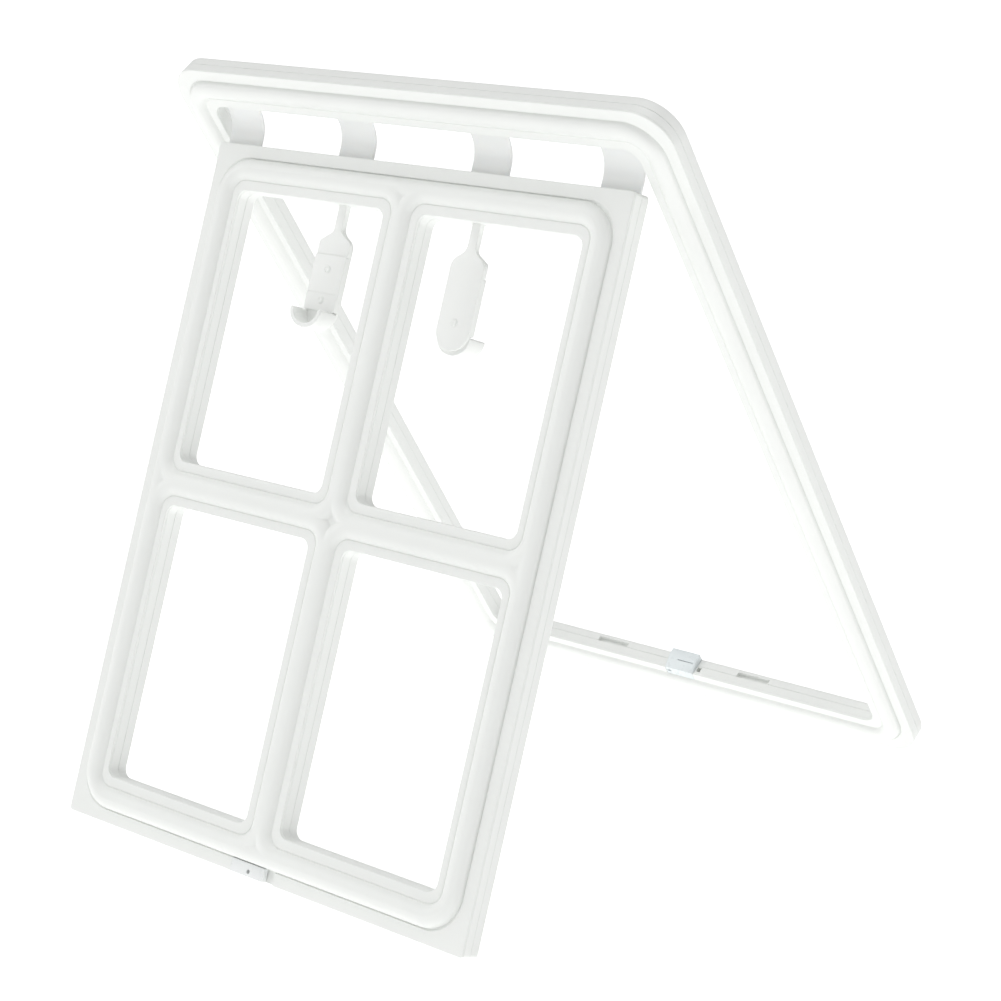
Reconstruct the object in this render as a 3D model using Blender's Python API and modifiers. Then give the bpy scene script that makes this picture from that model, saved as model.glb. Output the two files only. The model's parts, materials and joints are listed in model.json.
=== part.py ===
"""Top-hung sash in a matching frame, standing open as an A-frame.

The frame and the sash are both two-shell panels with a half-round roll
moulding on the front. Four flexible straps join them and act as the hinge.
Two swivelling hooks hang in the upper lights of the sash, and a magnetic
latch sits in the middle of the frame's sill and of the sash's bottom rail.

Each panel is modelled in its own axes: X along the hinge line, Y up the
panel, Z out of its front face, with zero on the hinge line and half way
through the panel. An empty on the hinge line carries each set of axes.
"""
import math

import bmesh
import bpy
from mathutils import Matrix, Vector

MM = 0.001
GAP = 0.3 * MM
OVERRUN = 1.0 * MM  # how far a cut runs past the face it opens

# Stance
FRAME_LEAN = math.radians(34.0)
SASH_LEAN = math.radians(20.0)
HINGE_HEIGHT = 393.9 * MM
HINGE_Y = -59.55 * MM

# Frame
FRAME_HALF_WIDTH = 180.0 * MM
FRAME_TOP = 41.0 * MM
FRAME_BOTTOM = -471.0 * MM
FRAME_RAIL = 25.0 * MM
FRAME_HALF_DEPTH = 6.1 * MM
FRAME_CORNER = 22.0 * MM
FRAME_INNER_CORNER = 9.0 * MM
FRAME_ROLL_INSET = 13.2 * MM
FRAME_ROLL_CORNER = 16.0 * MM
FRAME_ROLL_RADIUS = 5.7 * MM

# Sash
SASH_HALF_WIDTH = 152.5 * MM
SASH_TOP = -14.7 * MM
SASH_BOTTOM = -416.7 * MM
SASH_HALF_DEPTH = 6.75 * MM
SASH_CORNER = 2.0 * MM
SASH_STILE = 25.3 * MM
SASH_RAIL = 26.8 * MM
BAR_HALF_WIDTH = 13.0 * MM
LIGHT_CORNER = 6.0 * MM
SASH_ROLL_INSET = 14.0 * MM
SASH_ROLL_CORNER = 17.0 * MM
SASH_ROLL_RADIUS = 6.0 * MM
LIGHT_ROLL_INSET = 14.6 * MM
LIGHT_ROLL_OFFSET = 1.2 * MM
LIGHT_ROLL_CORNER = 15.0 * MM

# Mouldings on both panels
ROLL_FLATTEN = 0.79
ROLL_SINK = 0.35 * MM
LIP_HEIGHT = 1.3 * MM
LIP_DEPTH = 2.0 * MM
CORNER_STEPS = 5
SMALL_CORNER_STEPS = 4
SQUARE_CORNER_STEPS = 2
ROLL_BEVEL_RESOLUTION = 4

# Hinge straps
STRAP_CENTRES = (-138.3 * MM, -49.5 * MM, 49.5 * MM, 138.3 * MM)
STRAP_HALF_WIDTH = 13.4 * MM
STRAP_HALF_THICKNESS = 0.9 * MM
STRAP_BEND_RADIUS = 18.0 * MM
STRAP_BEND_STEPS = 10
STRAP_GRIP = 11.0 * MM
POCKET_MOUTH = 4.0 * MM

# Retainers that peg the strap ends inside each panel
RETAINER_HALF_LENGTH = 150.0 * MM
RETAINER_HALF_WIDTH = 1.5 * MM
RETAINER_Z = (1.5 * MM, 3.5 * MM)
RETAINER_FROM_EDGE = 6.0 * MM
PEG_RADIUS = 1.2 * MM
PEG_END = -3.0 * MM
PEG_SPREAD = 8.0 * MM
PEG_HOLE_LENGTH = 6.0 * MM

# Screws that close the shells
SCREW_HEAD_RADIUS = 2.7 * MM
SCREW_HEAD_HEIGHT = 1.8 * MM
SCREW_SHANK_RADIUS = 1.4 * MM
SCREW_LENGTH = 9.5 * MM
SCREW_RECESS = 0.4 * MM
SCREW_SIDES = 12
FRAME_SCREW_X = 166.5 * MM
FRAME_SCREW_Y = (27.5 * MM, -130.0 * MM, -300.0 * MM, -457.5 * MM)
SASH_SCREW_X = 138.5 * MM
SASH_SCREW_Y = (-35.0 * MM, -215.7 * MM, -403.0 * MM)

# Sill latch
LATCH_CENTRE = 3.0 * MM
LATCH_HALF_WIDTH = 11.0 * MM
LATCH_DEPTH = 5.8 * MM
LATCH_PROUD = 4.5 * MM
LATCH_FRONT_PROUD = 0.5 * MM
LATCH_RIDGE_Z = -1.5 * MM
MAGNET_HALF_WIDTH = 6.0 * MM
MAGNET_HALF_DEPTH = 2.5 * MM
MAGNET_HEIGHT = 4.0 * MM
SLOT_CENTRE = 57.3 * MM
SLOT_HALF_LENGTH = 12.3 * MM
SLOT_Z = (-3.4 * MM, 0.4 * MM)
SLOT_DEPTH = 3.0 * MM
CATCH_NOTCH_X = (1.2 * MM, 4.2 * MM)  # from the latch block's right side
CATCH_NOTCH_Z = (1.0 * MM, 4.5 * MM)
CATCH_NOTCH_DEPTH = 4.5 * MM

# Sash latch tab
TAB_LEFT = -17.2 * MM
TAB_RIGHT = 7.8 * MM
NOTCH_RIGHT = 15.8 * MM
TAB_HEIGHT = 7.6 * MM
TAB_FLOOR = 3.0 * MM
TAB_PROUD = 0.5 * MM
TAB_HOLE_RADIUS = 1.2 * MM
TAB_HOLE_X = -3.4 * MM
TAB_HOLE_HEIGHT = 3.0 * MM
KEEPER_X = -8.7 * MM
KEEPER_RADIUS = 2.6 * MM
KEEPER_HEIGHT = 2.2 * MM

# Hooks
HOOK_X = 49.5 * MM
HOOK_HALF_WIDTH = 11.8 * MM
STEM_HALF_WIDTH = 3.0 * MM
PLATE_TOP = -0.3 * MM
STEM_END = -15.5 * MM
SHOULDER_END = -21.0 * MM
BACK_END = -70.3 * MM
BACK_END_STEPS = 8
COVER_SPLIT = -29.0 * MM
COVER_END = -61.0 * MM
BACK_Z = (-2.0 * MM, -0.15 * MM)
CORE_HALF_THICKNESS = 0.6 * MM
UPPER_COVER_Z = (0.15 * MM, 2.0 * MM)
LOWER_COVER_Z = (0.15 * MM, 2.8 * MM)
SWIVEL_RADIUS = 2.6 * MM
SWIVEL_HEAD_RADIUS = 4.0 * MM
SWIVEL_HEAD_HEIGHT = 2.0 * MM
SWIVEL_LENGTH = 10.0 * MM
TONGUE_HALF_WIDTH = 1.8 * MM
TONGUE_TOP = 1.0 * MM
TONGUE_END = -42.0 * MM
NECK_END = 0.0 * MM
TAB_HALF_WIDTH = 8.0 * MM
TAB_Y = (-64.0 * MM, -43.0 * MM)
CUP_TOP = -61.3 * MM
CUP_OUTER = (11.8 * MM, 11.2 * MM)  # half width, depth
CUP_INNER = (9.2 * MM, 8.6 * MM)
CUP_Z = (0.15 * MM, 13.3 * MM)
CUP_FLOOR_Z = 1.8 * MM
CUP_STEPS = 16
HOOK_SCREW_RADIUS = 1.2 * MM
HOOK_SCREW_HEAD_RADIUS = 2.2 * MM
HOOK_SCREW_TOP_RADIUS = 1.8 * MM
HOOK_SCREW_HEAD_HEIGHT = 0.7 * MM
HOOK_SCREW_END = -1.4 * MM
HOOK_HOLE_LENGTH = 12.0 * MM
SCREW_Y = -37.3 * MM
RIVET_Y = -54.8 * MM


# ---------------------------------------------------------------- scene set-up

for old in list(bpy.data.objects):
    bpy.data.objects.remove(old, do_unlink=True)

parts = bpy.data.collections.new("window_sash")
cutters = bpy.data.collections.new("cutters")
bpy.context.scene.collection.children.link(parts)
bpy.context.scene.collection.children.link(cutters)


def material(name, colour, roughness, metallic=0.0):
    """A Principled material."""
    mat = bpy.data.materials.new(name)
    mat.use_nodes = True
    shader = mat.node_tree.nodes["Principled BSDF"]
    shader.inputs["Base Color"].default_value = (*colour, 1.0)
    shader.inputs["Roughness"].default_value = roughness
    shader.inputs["Metallic"].default_value = metallic
    return mat


WHITE_ABS = material("white_abs", (0.86, 0.87, 0.84), 0.42)
WHITE_ABS_REAR = material("white_abs_rear", (0.84, 0.85, 0.82), 0.45)
STRAP_TPU = material("strap_tpu", (0.85, 0.88, 0.88), 0.35)
LATCH_ABS = material("latch_abs", (0.80, 0.84, 0.87), 0.25)
HOOK_ABS = material("hook_abs", (0.85, 0.86, 0.83), 0.38)
SCREW_STEEL = material("screw_steel", (0.62, 0.63, 0.62), 0.35, 1.0)
MAGNET_NICKEL = material("magnet_nickel", (0.55, 0.55, 0.56), 0.25, 1.0)
SWIVEL_ABS = material("swivel_abs", (0.83, 0.84, 0.81), 0.38)
RETAINER_ABS = material("retainer_abs", (0.70, 0.71, 0.70), 0.5)


def empty_at(name, matrix, parent=None):
    """An empty that carries a set of axes."""
    obj = bpy.data.objects.new(name, None)
    parts.objects.link(obj)
    if parent is not None:
        obj.parent = parent
    obj.matrix_local = matrix
    return obj


def add_object(name, mesh, parent, is_cutter=False):
    """Put a mesh in the scene under the empty that carries its axes."""
    obj = bpy.data.objects.new(name, mesh)
    (cutters if is_cutter else parts).objects.link(obj)
    obj.parent = parent
    if is_cutter:
        obj.hide_render = True
        obj.display_type = "WIRE"
    return obj


def finish(obj, mat, smooth_angle=math.radians(35)):
    """Give a part its material and its shading."""
    obj.data.materials.append(mat)
    obj.data.shade_smooth()
    obj.data.set_sharp_from_angle(angle=smooth_angle)
    return obj


# ------------------------------------------------------------------- outlines

def rounded_rectangle(x0, x1, y0, y1, radius, steps=CORNER_STEPS):
    """Points round a rectangle with round corners, anticlockwise."""
    centres = (
        (x1 - radius, y1 - radius, 0.0),
        (x0 + radius, y1 - radius, 0.5 * math.pi),
        (x0 + radius, y0 + radius, math.pi),
        (x1 - radius, y0 + radius, 1.5 * math.pi),
    )
    points = []
    for cx, cy, start in centres:
        for step in range(steps + 1):
            angle = start + 0.5 * math.pi * step / steps
            points.append((cx + radius * math.cos(angle), cy + radius * math.sin(angle)))
    return points


def mesh_from_curve(curve, transform):
    """Turn a curve into a closed mesh and move it into place."""
    guide = bpy.data.objects.new("outline", curve)
    cutters.objects.link(guide)
    depsgraph = bpy.context.evaluated_depsgraph_get()
    mesh = bpy.data.meshes.new_from_object(guide.evaluated_get(depsgraph))
    bpy.data.objects.remove(guide, do_unlink=True)
    bpy.data.curves.remove(curve)
    work = bmesh.new()
    work.from_mesh(mesh)
    bmesh.ops.remove_doubles(work, verts=work.verts, dist=0.00001)
    bmesh.ops.recalc_face_normals(work, faces=work.faces)
    work.to_mesh(mesh)
    work.free()
    mesh.transform(transform)
    return mesh


def add_loop(curve, points):
    """Add one closed straight-sided loop to a curve."""
    spline = curve.splines.new("POLY")
    spline.points.add(len(points) - 1)
    for vertex, point in zip(spline.points, points):
        z = point[2] if len(point) > 2 else 0.0
        vertex.co = (point[0], point[1], z, 1.0)
    spline.use_cyclic_u = True


def plate_mesh(loops, z0, z1):
    """A flat plate from z0 to z1; loops after the first are holes."""
    curve = bpy.data.curves.new("plate", "CURVE")
    curve.dimensions = "2D"
    curve.fill_mode = "BOTH"
    curve.extrude = 0.5 * (z1 - z0)
    for loop in loops:
        add_loop(curve, loop)
    return mesh_from_curve(curve, Matrix.Translation((0.0, 0.0, 0.5 * (z0 + z1))))


def side_profile_mesh(points, x0, x1):
    """A solid of constant (z, y) section that runs from x0 to x1."""
    curve = bpy.data.curves.new("profile", "CURVE")
    curve.dimensions = "2D"
    curve.fill_mode = "BOTH"
    curve.extrude = 0.5 * (x1 - x0)
    add_loop(curve, [(-z, y) for z, y in points])
    shift = Matrix.Translation((0.5 * (x0 + x1), 0.0, 0.0))
    return mesh_from_curve(curve, shift @ Matrix.Rotation(math.radians(90), 4, "Y"))


def roll_mesh(loop, radius, z):
    """A flattened tube round a closed path, the roll moulding."""
    curve = bpy.data.curves.new("roll", "CURVE")
    curve.dimensions = "3D"
    curve.bevel_depth = radius
    curve.bevel_resolution = ROLL_BEVEL_RESOLUTION
    add_loop(curve, loop)
    squash = Matrix.Diagonal((1.0, 1.0, ROLL_FLATTEN, 1.0))
    return mesh_from_curve(curve, Matrix.Translation((0.0, 0.0, z - ROLL_SINK)) @ squash)


def joined_mesh(name, builders):
    """Several separate closed solids in one mesh."""
    mesh = bpy.data.meshes.new(name)
    work = bmesh.new()
    for build in builders:
        build(work)
    work.to_mesh(mesh)
    work.free()
    return mesh


def box(x0, x1, y0, y1, z0, z1):
    """A builder for a box between two corners."""
    size = Vector((x1 - x0, y1 - y0, z1 - z0))
    centre = Vector((x0 + x1, y0 + y1, z0 + z1)) * 0.5
    matrix = Matrix.Translation(centre) @ Matrix.Diagonal((*size, 1.0))
    return lambda work: bmesh.ops.create_cube(work, size=1.0, matrix=matrix)


def cylinder(centre, radius, length, turn=Matrix.Identity(4)):
    """A builder for a cylinder through the thickness of a panel."""
    matrix = turn @ Matrix.Translation(centre)
    return lambda work: bmesh.ops.create_cone(
        work, cap_ends=True, segments=SCREW_SIDES, radius1=radius, radius2=radius,
        depth=length, matrix=matrix)


def turned(profile, placement):
    """A builder for a turned solid: (radius, height) down its side from top to bottom."""
    points = [(0.0, profile[0][1]), *profile, (0.0, profile[-1][1])]
    outline = bpy.data.meshes.new("turned_outline")
    edges = [(index, index + 1) for index in range(len(points) - 1)]
    outline.from_pydata([(radius, 0.0, height) for radius, height in points], edges, [])
    guide = bpy.data.objects.new("turned_outline", outline)
    cutters.objects.link(guide)
    screw = guide.modifiers.new("turn", "SCREW")
    screw.steps = SCREW_SIDES
    screw.render_steps = SCREW_SIDES
    screw.use_merge_vertices = True
    screw.merge_threshold = 0.00001
    depsgraph = bpy.context.evaluated_depsgraph_get()
    mesh = bpy.data.meshes.new_from_object(guide.evaluated_get(depsgraph))
    bpy.data.objects.remove(guide, do_unlink=True)
    bpy.data.meshes.remove(outline)
    mesh.transform(placement)
    return lambda work: work.from_mesh(mesh)


def boolean(obj, operand, operation, solver="EXACT"):
    """Join another solid to a part, or cut it away."""
    modifier = obj.modifiers.new(operation.lower(), "BOOLEAN")
    modifier.operation = operation
    modifier.solver = solver
    modifier.object = operand


# ----------------------------------------------------------------------- axes

hinge_point = Vector((0.0, HINGE_Y, HINGE_HEIGHT))
frame_axes = empty_at(
    "frame_axes",
    Matrix.Translation(hinge_point) @ Matrix.Rotation(0.5 * math.pi + FRAME_LEAN, 4, "X"))
sash_axes = empty_at(
    "sash_hinge_axis",
    Matrix.Translation(hinge_point) @ Matrix.Rotation(0.5 * math.pi - SASH_LEAN, 4, "X"))
hook_left_axes = empty_at(
    "hook_left_axis",
    Matrix.Translation((-HOOK_X, SASH_TOP - SASH_RAIL, 0.0)), sash_axes)
hook_right_axes = empty_at(
    "hook_right_axis",
    Matrix.Translation((HOOK_X, SASH_TOP - SASH_RAIL, 0.0)) @ Matrix.Rotation(math.pi, 4, "Y"),
    sash_axes)


# --------------------------------------------------------------------- screws

def screw_builder(x, y, rear):
    """A pan-head screw driven from the rear face, its head just below it."""
    head_top = rear + SCREW_RECESS
    head_base = head_top + SCREW_HEAD_HEIGHT
    profile = (
        (SCREW_SHANK_RADIUS, head_top + SCREW_LENGTH),
        (SCREW_SHANK_RADIUS, head_base),
        (SCREW_HEAD_RADIUS, head_base),
        (SCREW_HEAD_RADIUS, head_top),
    )
    return turned(profile, Matrix.Translation((x, y, 0.0)))


def screw_hole_builder(x, y, rear):
    """The counterbored hole that a screw fits with a small clearance."""
    head_base = rear + SCREW_RECESS + SCREW_HEAD_HEIGHT + GAP
    profile = (
        (SCREW_SHANK_RADIUS + GAP, rear + SCREW_RECESS + SCREW_LENGTH + GAP),
        (SCREW_SHANK_RADIUS + GAP, head_base),
        (SCREW_HEAD_RADIUS + GAP, head_base),
        (SCREW_HEAD_RADIUS + GAP, rear - OVERRUN),
    )
    return turned(profile, Matrix.Translation((x, y, 0.0)))


frame_screw_points = [
    (side * FRAME_SCREW_X, y) for side in (-1, 1) for y in FRAME_SCREW_Y]
sash_screw_points = [
    (side * SASH_SCREW_X, y) for side in (-1, 1) for y in SASH_SCREW_Y]
sash_screw_points.append((0.0, 0.5 * (SASH_TOP + SASH_BOTTOM)))


def build_screws(panel, points, rear, axes):
    """One screw for each hole of a panel."""
    for number, (x, y) in enumerate(points, start=1):
        name = f"{panel}_screw_{number}"
        mesh = joined_mesh(name, [screw_builder(x, y, rear)])
        finish(add_object(name, mesh, axes), SCREW_STEEL)


# -------------------------------------------------------------- hinge strap ends

def strap_pockets(edge, direction):
    """Boxes that clear the strap ends; edge is the rail's edge facing the hinge."""
    reach = edge + direction * (STRAP_GRIP + GAP)
    mouth = edge - direction * POCKET_MOUTH
    low, high = sorted((reach, mouth))
    half = STRAP_HALF_WIDTH + GAP
    depth = STRAP_HALF_THICKNESS + GAP
    return [box(c - half, c + half, low, high, -depth, depth) for c in STRAP_CENTRES]


def peg_points(edge, direction):
    """Where the pegs of a retainer stand, two to a strap."""
    y = edge + direction * RETAINER_FROM_EDGE
    return [(c + side * PEG_SPREAD, y) for c in STRAP_CENTRES for side in (-1, 1)]


frame_inner_top = FRAME_TOP - FRAME_RAIL
frame_pegs = peg_points(frame_inner_top, 1)
sash_pegs = peg_points(SASH_TOP, -1)


def bar(y, clearance):
    """A builder for a retainer's bar, or for its groove when there is a clearance."""
    length = RETAINER_HALF_LENGTH + clearance
    half = RETAINER_HALF_WIDTH + clearance
    bottom = RETAINER_Z[0] if clearance == 0.0 else 0.0
    return box(-length, length, y - half, y + half, bottom, RETAINER_Z[1] + clearance)


def peg(x, y, clearance, top):
    """A builder for one peg, or for its hole when there is a clearance."""
    low = PEG_END - clearance
    return cylinder((x, y, 0.5 * (top + low)), PEG_RADIUS + clearance, top - low)


def build_retainer(name, points, axes):
    """A bar with pegs that pass through the strap ends."""
    obj = add_object(name, joined_mesh(name, [bar(points[0][1], 0.0)]), axes)
    peg_top = 0.5 * (RETAINER_Z[0] + RETAINER_Z[1])
    pegs = add_object(
        name + "_pegs",
        joined_mesh(name + "_pegs", [peg(x, y, 0.0, peg_top) for x, y in points]), axes, True)
    boolean(obj, pegs, "UNION")
    finish(obj, RETAINER_ABS)


def retainer_cutters(name, points, axes):
    """The groove for a retainer's bar and the holes for its pegs."""
    groove = add_object(
        name + "_groove", joined_mesh(name + "_groove", [bar(points[0][1], GAP)]), axes, True)
    holes = add_object(
        name + "_peg_holes",
        joined_mesh(name + "_peg_holes", [peg(x, y, GAP, OVERRUN) for x, y in points]),
        axes, True)
    return groove, holes


# ---------------------------------------------------------------------- frame

frame_outer = rounded_rectangle(
    -FRAME_HALF_WIDTH, FRAME_HALF_WIDTH, FRAME_BOTTOM, FRAME_TOP, FRAME_CORNER)
frame_inner = rounded_rectangle(
    -FRAME_HALF_WIDTH + FRAME_RAIL, FRAME_HALF_WIDTH - FRAME_RAIL,
    FRAME_BOTTOM + FRAME_RAIL, FRAME_TOP - FRAME_RAIL, FRAME_INNER_CORNER)


def inset_rectangle(half_width, bottom, top, inset, radius):
    """A rounded rectangle set in from a panel's edges."""
    return rounded_rectangle(
        -half_width + inset, half_width - inset, bottom + inset, top - inset, radius)


sill = FRAME_BOTTOM + FRAME_RAIL
latch_x0 = LATCH_CENTRE - LATCH_HALF_WIDTH
latch_x1 = LATCH_CENTRE + LATCH_HALF_WIDTH

frame_pocket_builders = strap_pockets(frame_inner_top, 1) + [
    box(latch_x0 - GAP, latch_x1 + GAP, sill - LATCH_DEPTH - GAP, sill + OVERRUN,
        -FRAME_HALF_DEPTH - OVERRUN, FRAME_HALF_DEPTH + LIP_HEIGHT + OVERRUN),
    box(latch_x1 + CATCH_NOTCH_X[0], latch_x1 + CATCH_NOTCH_X[1], sill - CATCH_NOTCH_DEPTH,
        sill + OVERRUN, *CATCH_NOTCH_Z),
]
for slot_x in (-SLOT_CENTRE, SLOT_CENTRE):
    frame_pocket_builders.append(
        box(slot_x - SLOT_HALF_LENGTH, slot_x + SLOT_HALF_LENGTH,
            sill - SLOT_DEPTH, sill + OVERRUN, *SLOT_Z))
frame_pockets = add_object(
    "frame_pockets", joined_mesh("frame_pockets", frame_pocket_builders), frame_axes, True)
frame_holes = add_object(
    "frame_holes",
    joined_mesh("frame_holes", [
        screw_hole_builder(x, y, -FRAME_HALF_DEPTH) for x, y in frame_screw_points]),
    frame_axes, True)
frame_groove, frame_peg_holes = retainer_cutters("frame_strap_retainer", frame_pegs, frame_axes)

frame_front_shell = add_object(
    "frame_front_shell",
    plate_mesh([frame_outer, frame_inner], 0.5 * GAP, FRAME_HALF_DEPTH), frame_axes)
frame_lip = add_object(
    "frame_lip",
    plate_mesh([
        inset_rectangle(FRAME_HALF_WIDTH, FRAME_BOTTOM, FRAME_TOP, FRAME_ROLL_INSET,
                        FRAME_ROLL_CORNER),
        frame_inner], FRAME_HALF_DEPTH - LIP_DEPTH, FRAME_HALF_DEPTH + LIP_HEIGHT),
    frame_axes, True)
frame_roll = add_object(
    "frame_roll",
    roll_mesh(inset_rectangle(FRAME_HALF_WIDTH, FRAME_BOTTOM, FRAME_TOP, FRAME_ROLL_INSET,
                              FRAME_ROLL_CORNER), FRAME_ROLL_RADIUS, FRAME_HALF_DEPTH),
    frame_axes, True)
for operand in (frame_lip, frame_roll):
    boolean(frame_front_shell, operand, "UNION")
for operand in (frame_pockets, frame_holes, frame_groove):
    boolean(frame_front_shell, operand, "DIFFERENCE")
finish(frame_front_shell, WHITE_ABS)

frame_rear_shell = add_object(
    "frame_rear_shell",
    plate_mesh([frame_outer, frame_inner], -FRAME_HALF_DEPTH, -0.5 * GAP), frame_axes)
for operand in (frame_pockets, frame_holes, frame_peg_holes):
    boolean(frame_rear_shell, operand, "DIFFERENCE")
finish(frame_rear_shell, WHITE_ABS_REAR)

build_screws("frame", frame_screw_points, -FRAME_HALF_DEPTH, frame_axes)
build_retainer("frame_strap_retainer", frame_pegs, frame_axes)


# ----------------------------------------------------------------- sill latch

latch_front = FRAME_HALF_DEPTH + LIP_HEIGHT
latch_profile = [
    (-FRAME_HALF_DEPTH, sill - LATCH_DEPTH),
    (latch_front, sill - LATCH_DEPTH),
    (latch_front, sill + LATCH_FRONT_PROUD),
    (LATCH_RIDGE_Z, sill + LATCH_PROUD),
    (-FRAME_HALF_DEPTH, sill + LATCH_PROUD),
]
sill_latch_block = add_object(
    "sill_latch_block", side_profile_mesh(latch_profile, latch_x0, latch_x1), frame_axes)
magnet_floor = sill - LATCH_DEPTH
magnet_pocket = add_object(
    "magnet_pocket",
    joined_mesh("magnet_pocket", [
        box(LATCH_CENTRE - MAGNET_HALF_WIDTH - GAP, LATCH_CENTRE + MAGNET_HALF_WIDTH + GAP,
            magnet_floor - OVERRUN, magnet_floor + MAGNET_HEIGHT + 2 * GAP,
            -MAGNET_HALF_DEPTH - GAP, MAGNET_HALF_DEPTH + GAP)]),
    frame_axes, True)
boolean(sill_latch_block, magnet_pocket, "DIFFERENCE")
finish(sill_latch_block, LATCH_ABS)
sill_latch_magnet = add_object(
    "sill_latch_magnet",
    joined_mesh("sill_latch_magnet", [
        box(LATCH_CENTRE - MAGNET_HALF_WIDTH, LATCH_CENTRE + MAGNET_HALF_WIDTH,
            magnet_floor + GAP, magnet_floor + GAP + MAGNET_HEIGHT,
            -MAGNET_HALF_DEPTH, MAGNET_HALF_DEPTH)]),
    frame_axes)
finish(sill_latch_magnet, MAGNET_NICKEL)


# ----------------------------------------------------------------------- sash

sash_outer = rounded_rectangle(
    -SASH_HALF_WIDTH, SASH_HALF_WIDTH, SASH_BOTTOM, SASH_TOP, SASH_CORNER,
    SQUARE_CORNER_STEPS)
sash_mid = 0.5 * (SASH_TOP + SASH_BOTTOM)
light_x = (BAR_HALF_WIDTH, SASH_HALF_WIDTH - SASH_STILE)
light_y = (
    (sash_mid + BAR_HALF_WIDTH, SASH_TOP - SASH_RAIL),
    (SASH_BOTTOM + SASH_RAIL, sash_mid - BAR_HALF_WIDTH),
)
lights = [
    rounded_rectangle(x0, x1, y0, y1, LIGHT_CORNER, SMALL_CORNER_STEPS)
    for x0, x1 in ((-light_x[1], -light_x[0]), light_x)
    for y0, y1 in light_y
]
roll_x = (LIGHT_ROLL_OFFSET, SASH_HALF_WIDTH - LIGHT_ROLL_INSET)
roll_y = (
    (sash_mid + LIGHT_ROLL_OFFSET, SASH_TOP - LIGHT_ROLL_INSET),
    (SASH_BOTTOM + LIGHT_ROLL_INSET, sash_mid - LIGHT_ROLL_OFFSET),
)
light_rolls = [
    rounded_rectangle(x0, x1, y0, y1, LIGHT_ROLL_CORNER)
    for x0, x1 in ((-roll_x[1], -roll_x[0]), roll_x)
    for y0, y1 in roll_y
]

tab_top = SASH_BOTTOM + TAB_HEIGHT
keeper_y = SASH_BOTTOM + 0.5 * TAB_HEIGHT
sash_pockets = add_object(
    "sash_pockets",
    joined_mesh("sash_pockets", strap_pockets(SASH_TOP, -1) + [
        box(TAB_LEFT - GAP, NOTCH_RIGHT, SASH_BOTTOM - OVERRUN, tab_top + GAP,
            TAB_FLOOR, SASH_HALF_DEPTH + OVERRUN)]),
    sash_axes, True)

socket_y = SASH_TOP - SASH_RAIL
swivel_turn = Matrix.Rotation(math.radians(-90), 4, "X")
socket_profile = (
    (SWIVEL_HEAD_RADIUS + GAP, SWIVEL_LENGTH + GAP),
    (SWIVEL_HEAD_RADIUS + GAP, SWIVEL_LENGTH - SWIVEL_HEAD_HEIGHT - GAP),
    (SWIVEL_RADIUS + GAP, SWIVEL_LENGTH - SWIVEL_HEAD_HEIGHT - GAP),
    (SWIVEL_RADIUS + GAP, -OVERRUN),
)
keeper_hole = cylinder(
    (KEEPER_X, keeper_y, TAB_FLOOR - 0.5 * KEEPER_HEIGHT),
    KEEPER_RADIUS + GAP, KEEPER_HEIGHT + 2 * GAP)
sash_holes = add_object(
    "sash_holes",
    joined_mesh("sash_holes", [keeper_hole] + [
        screw_hole_builder(x, y, -SASH_HALF_DEPTH) for x, y in sash_screw_points] + [
        turned(socket_profile, Matrix.Translation((x, socket_y, 0.0)) @ swivel_turn)
        for x in (-HOOK_X, HOOK_X)]),
    sash_axes, True)

sash_groove, sash_peg_holes = retainer_cutters("sash_strap_retainer", sash_pegs, sash_axes)

sash_front_shell = add_object(
    "sash_front_shell",
    plate_mesh([sash_outer] + lights, 0.5 * GAP, SASH_HALF_DEPTH), sash_axes)
sash_lip = add_object(
    "sash_lip",
    plate_mesh([
        inset_rectangle(SASH_HALF_WIDTH, SASH_BOTTOM, SASH_TOP, SASH_ROLL_INSET,
                        SASH_ROLL_CORNER)] + lights,
        SASH_HALF_DEPTH - LIP_DEPTH, SASH_HALF_DEPTH + LIP_HEIGHT),
    sash_axes, True)
boolean(sash_front_shell, sash_lip, "UNION")
sash_roll_path = inset_rectangle(
    SASH_HALF_WIDTH, SASH_BOTTOM, SASH_TOP, SASH_ROLL_INSET, SASH_ROLL_CORNER)
for index, path in enumerate([sash_roll_path] + light_rolls):
    roll = add_object(
        f"sash_roll_{index}", roll_mesh(path, SASH_ROLL_RADIUS, SASH_HALF_DEPTH),
        sash_axes, True)
    boolean(sash_front_shell, roll, "UNION", "MANIFOLD")
for operand in (sash_pockets, sash_holes, sash_groove):
    boolean(sash_front_shell, operand, "DIFFERENCE", "MANIFOLD")
finish(sash_front_shell, WHITE_ABS)

sash_rear_shell = add_object(
    "sash_rear_shell",
    plate_mesh([sash_outer] + lights, -SASH_HALF_DEPTH, -0.5 * GAP), sash_axes)
for operand in (sash_pockets, sash_holes, sash_peg_holes):
    boolean(sash_rear_shell, operand, "DIFFERENCE")
finish(sash_rear_shell, WHITE_ABS_REAR)

build_screws("sash", sash_screw_points, -SASH_HALF_DEPTH, sash_axes)
build_retainer("sash_strap_retainer", sash_pegs, sash_axes)

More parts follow.
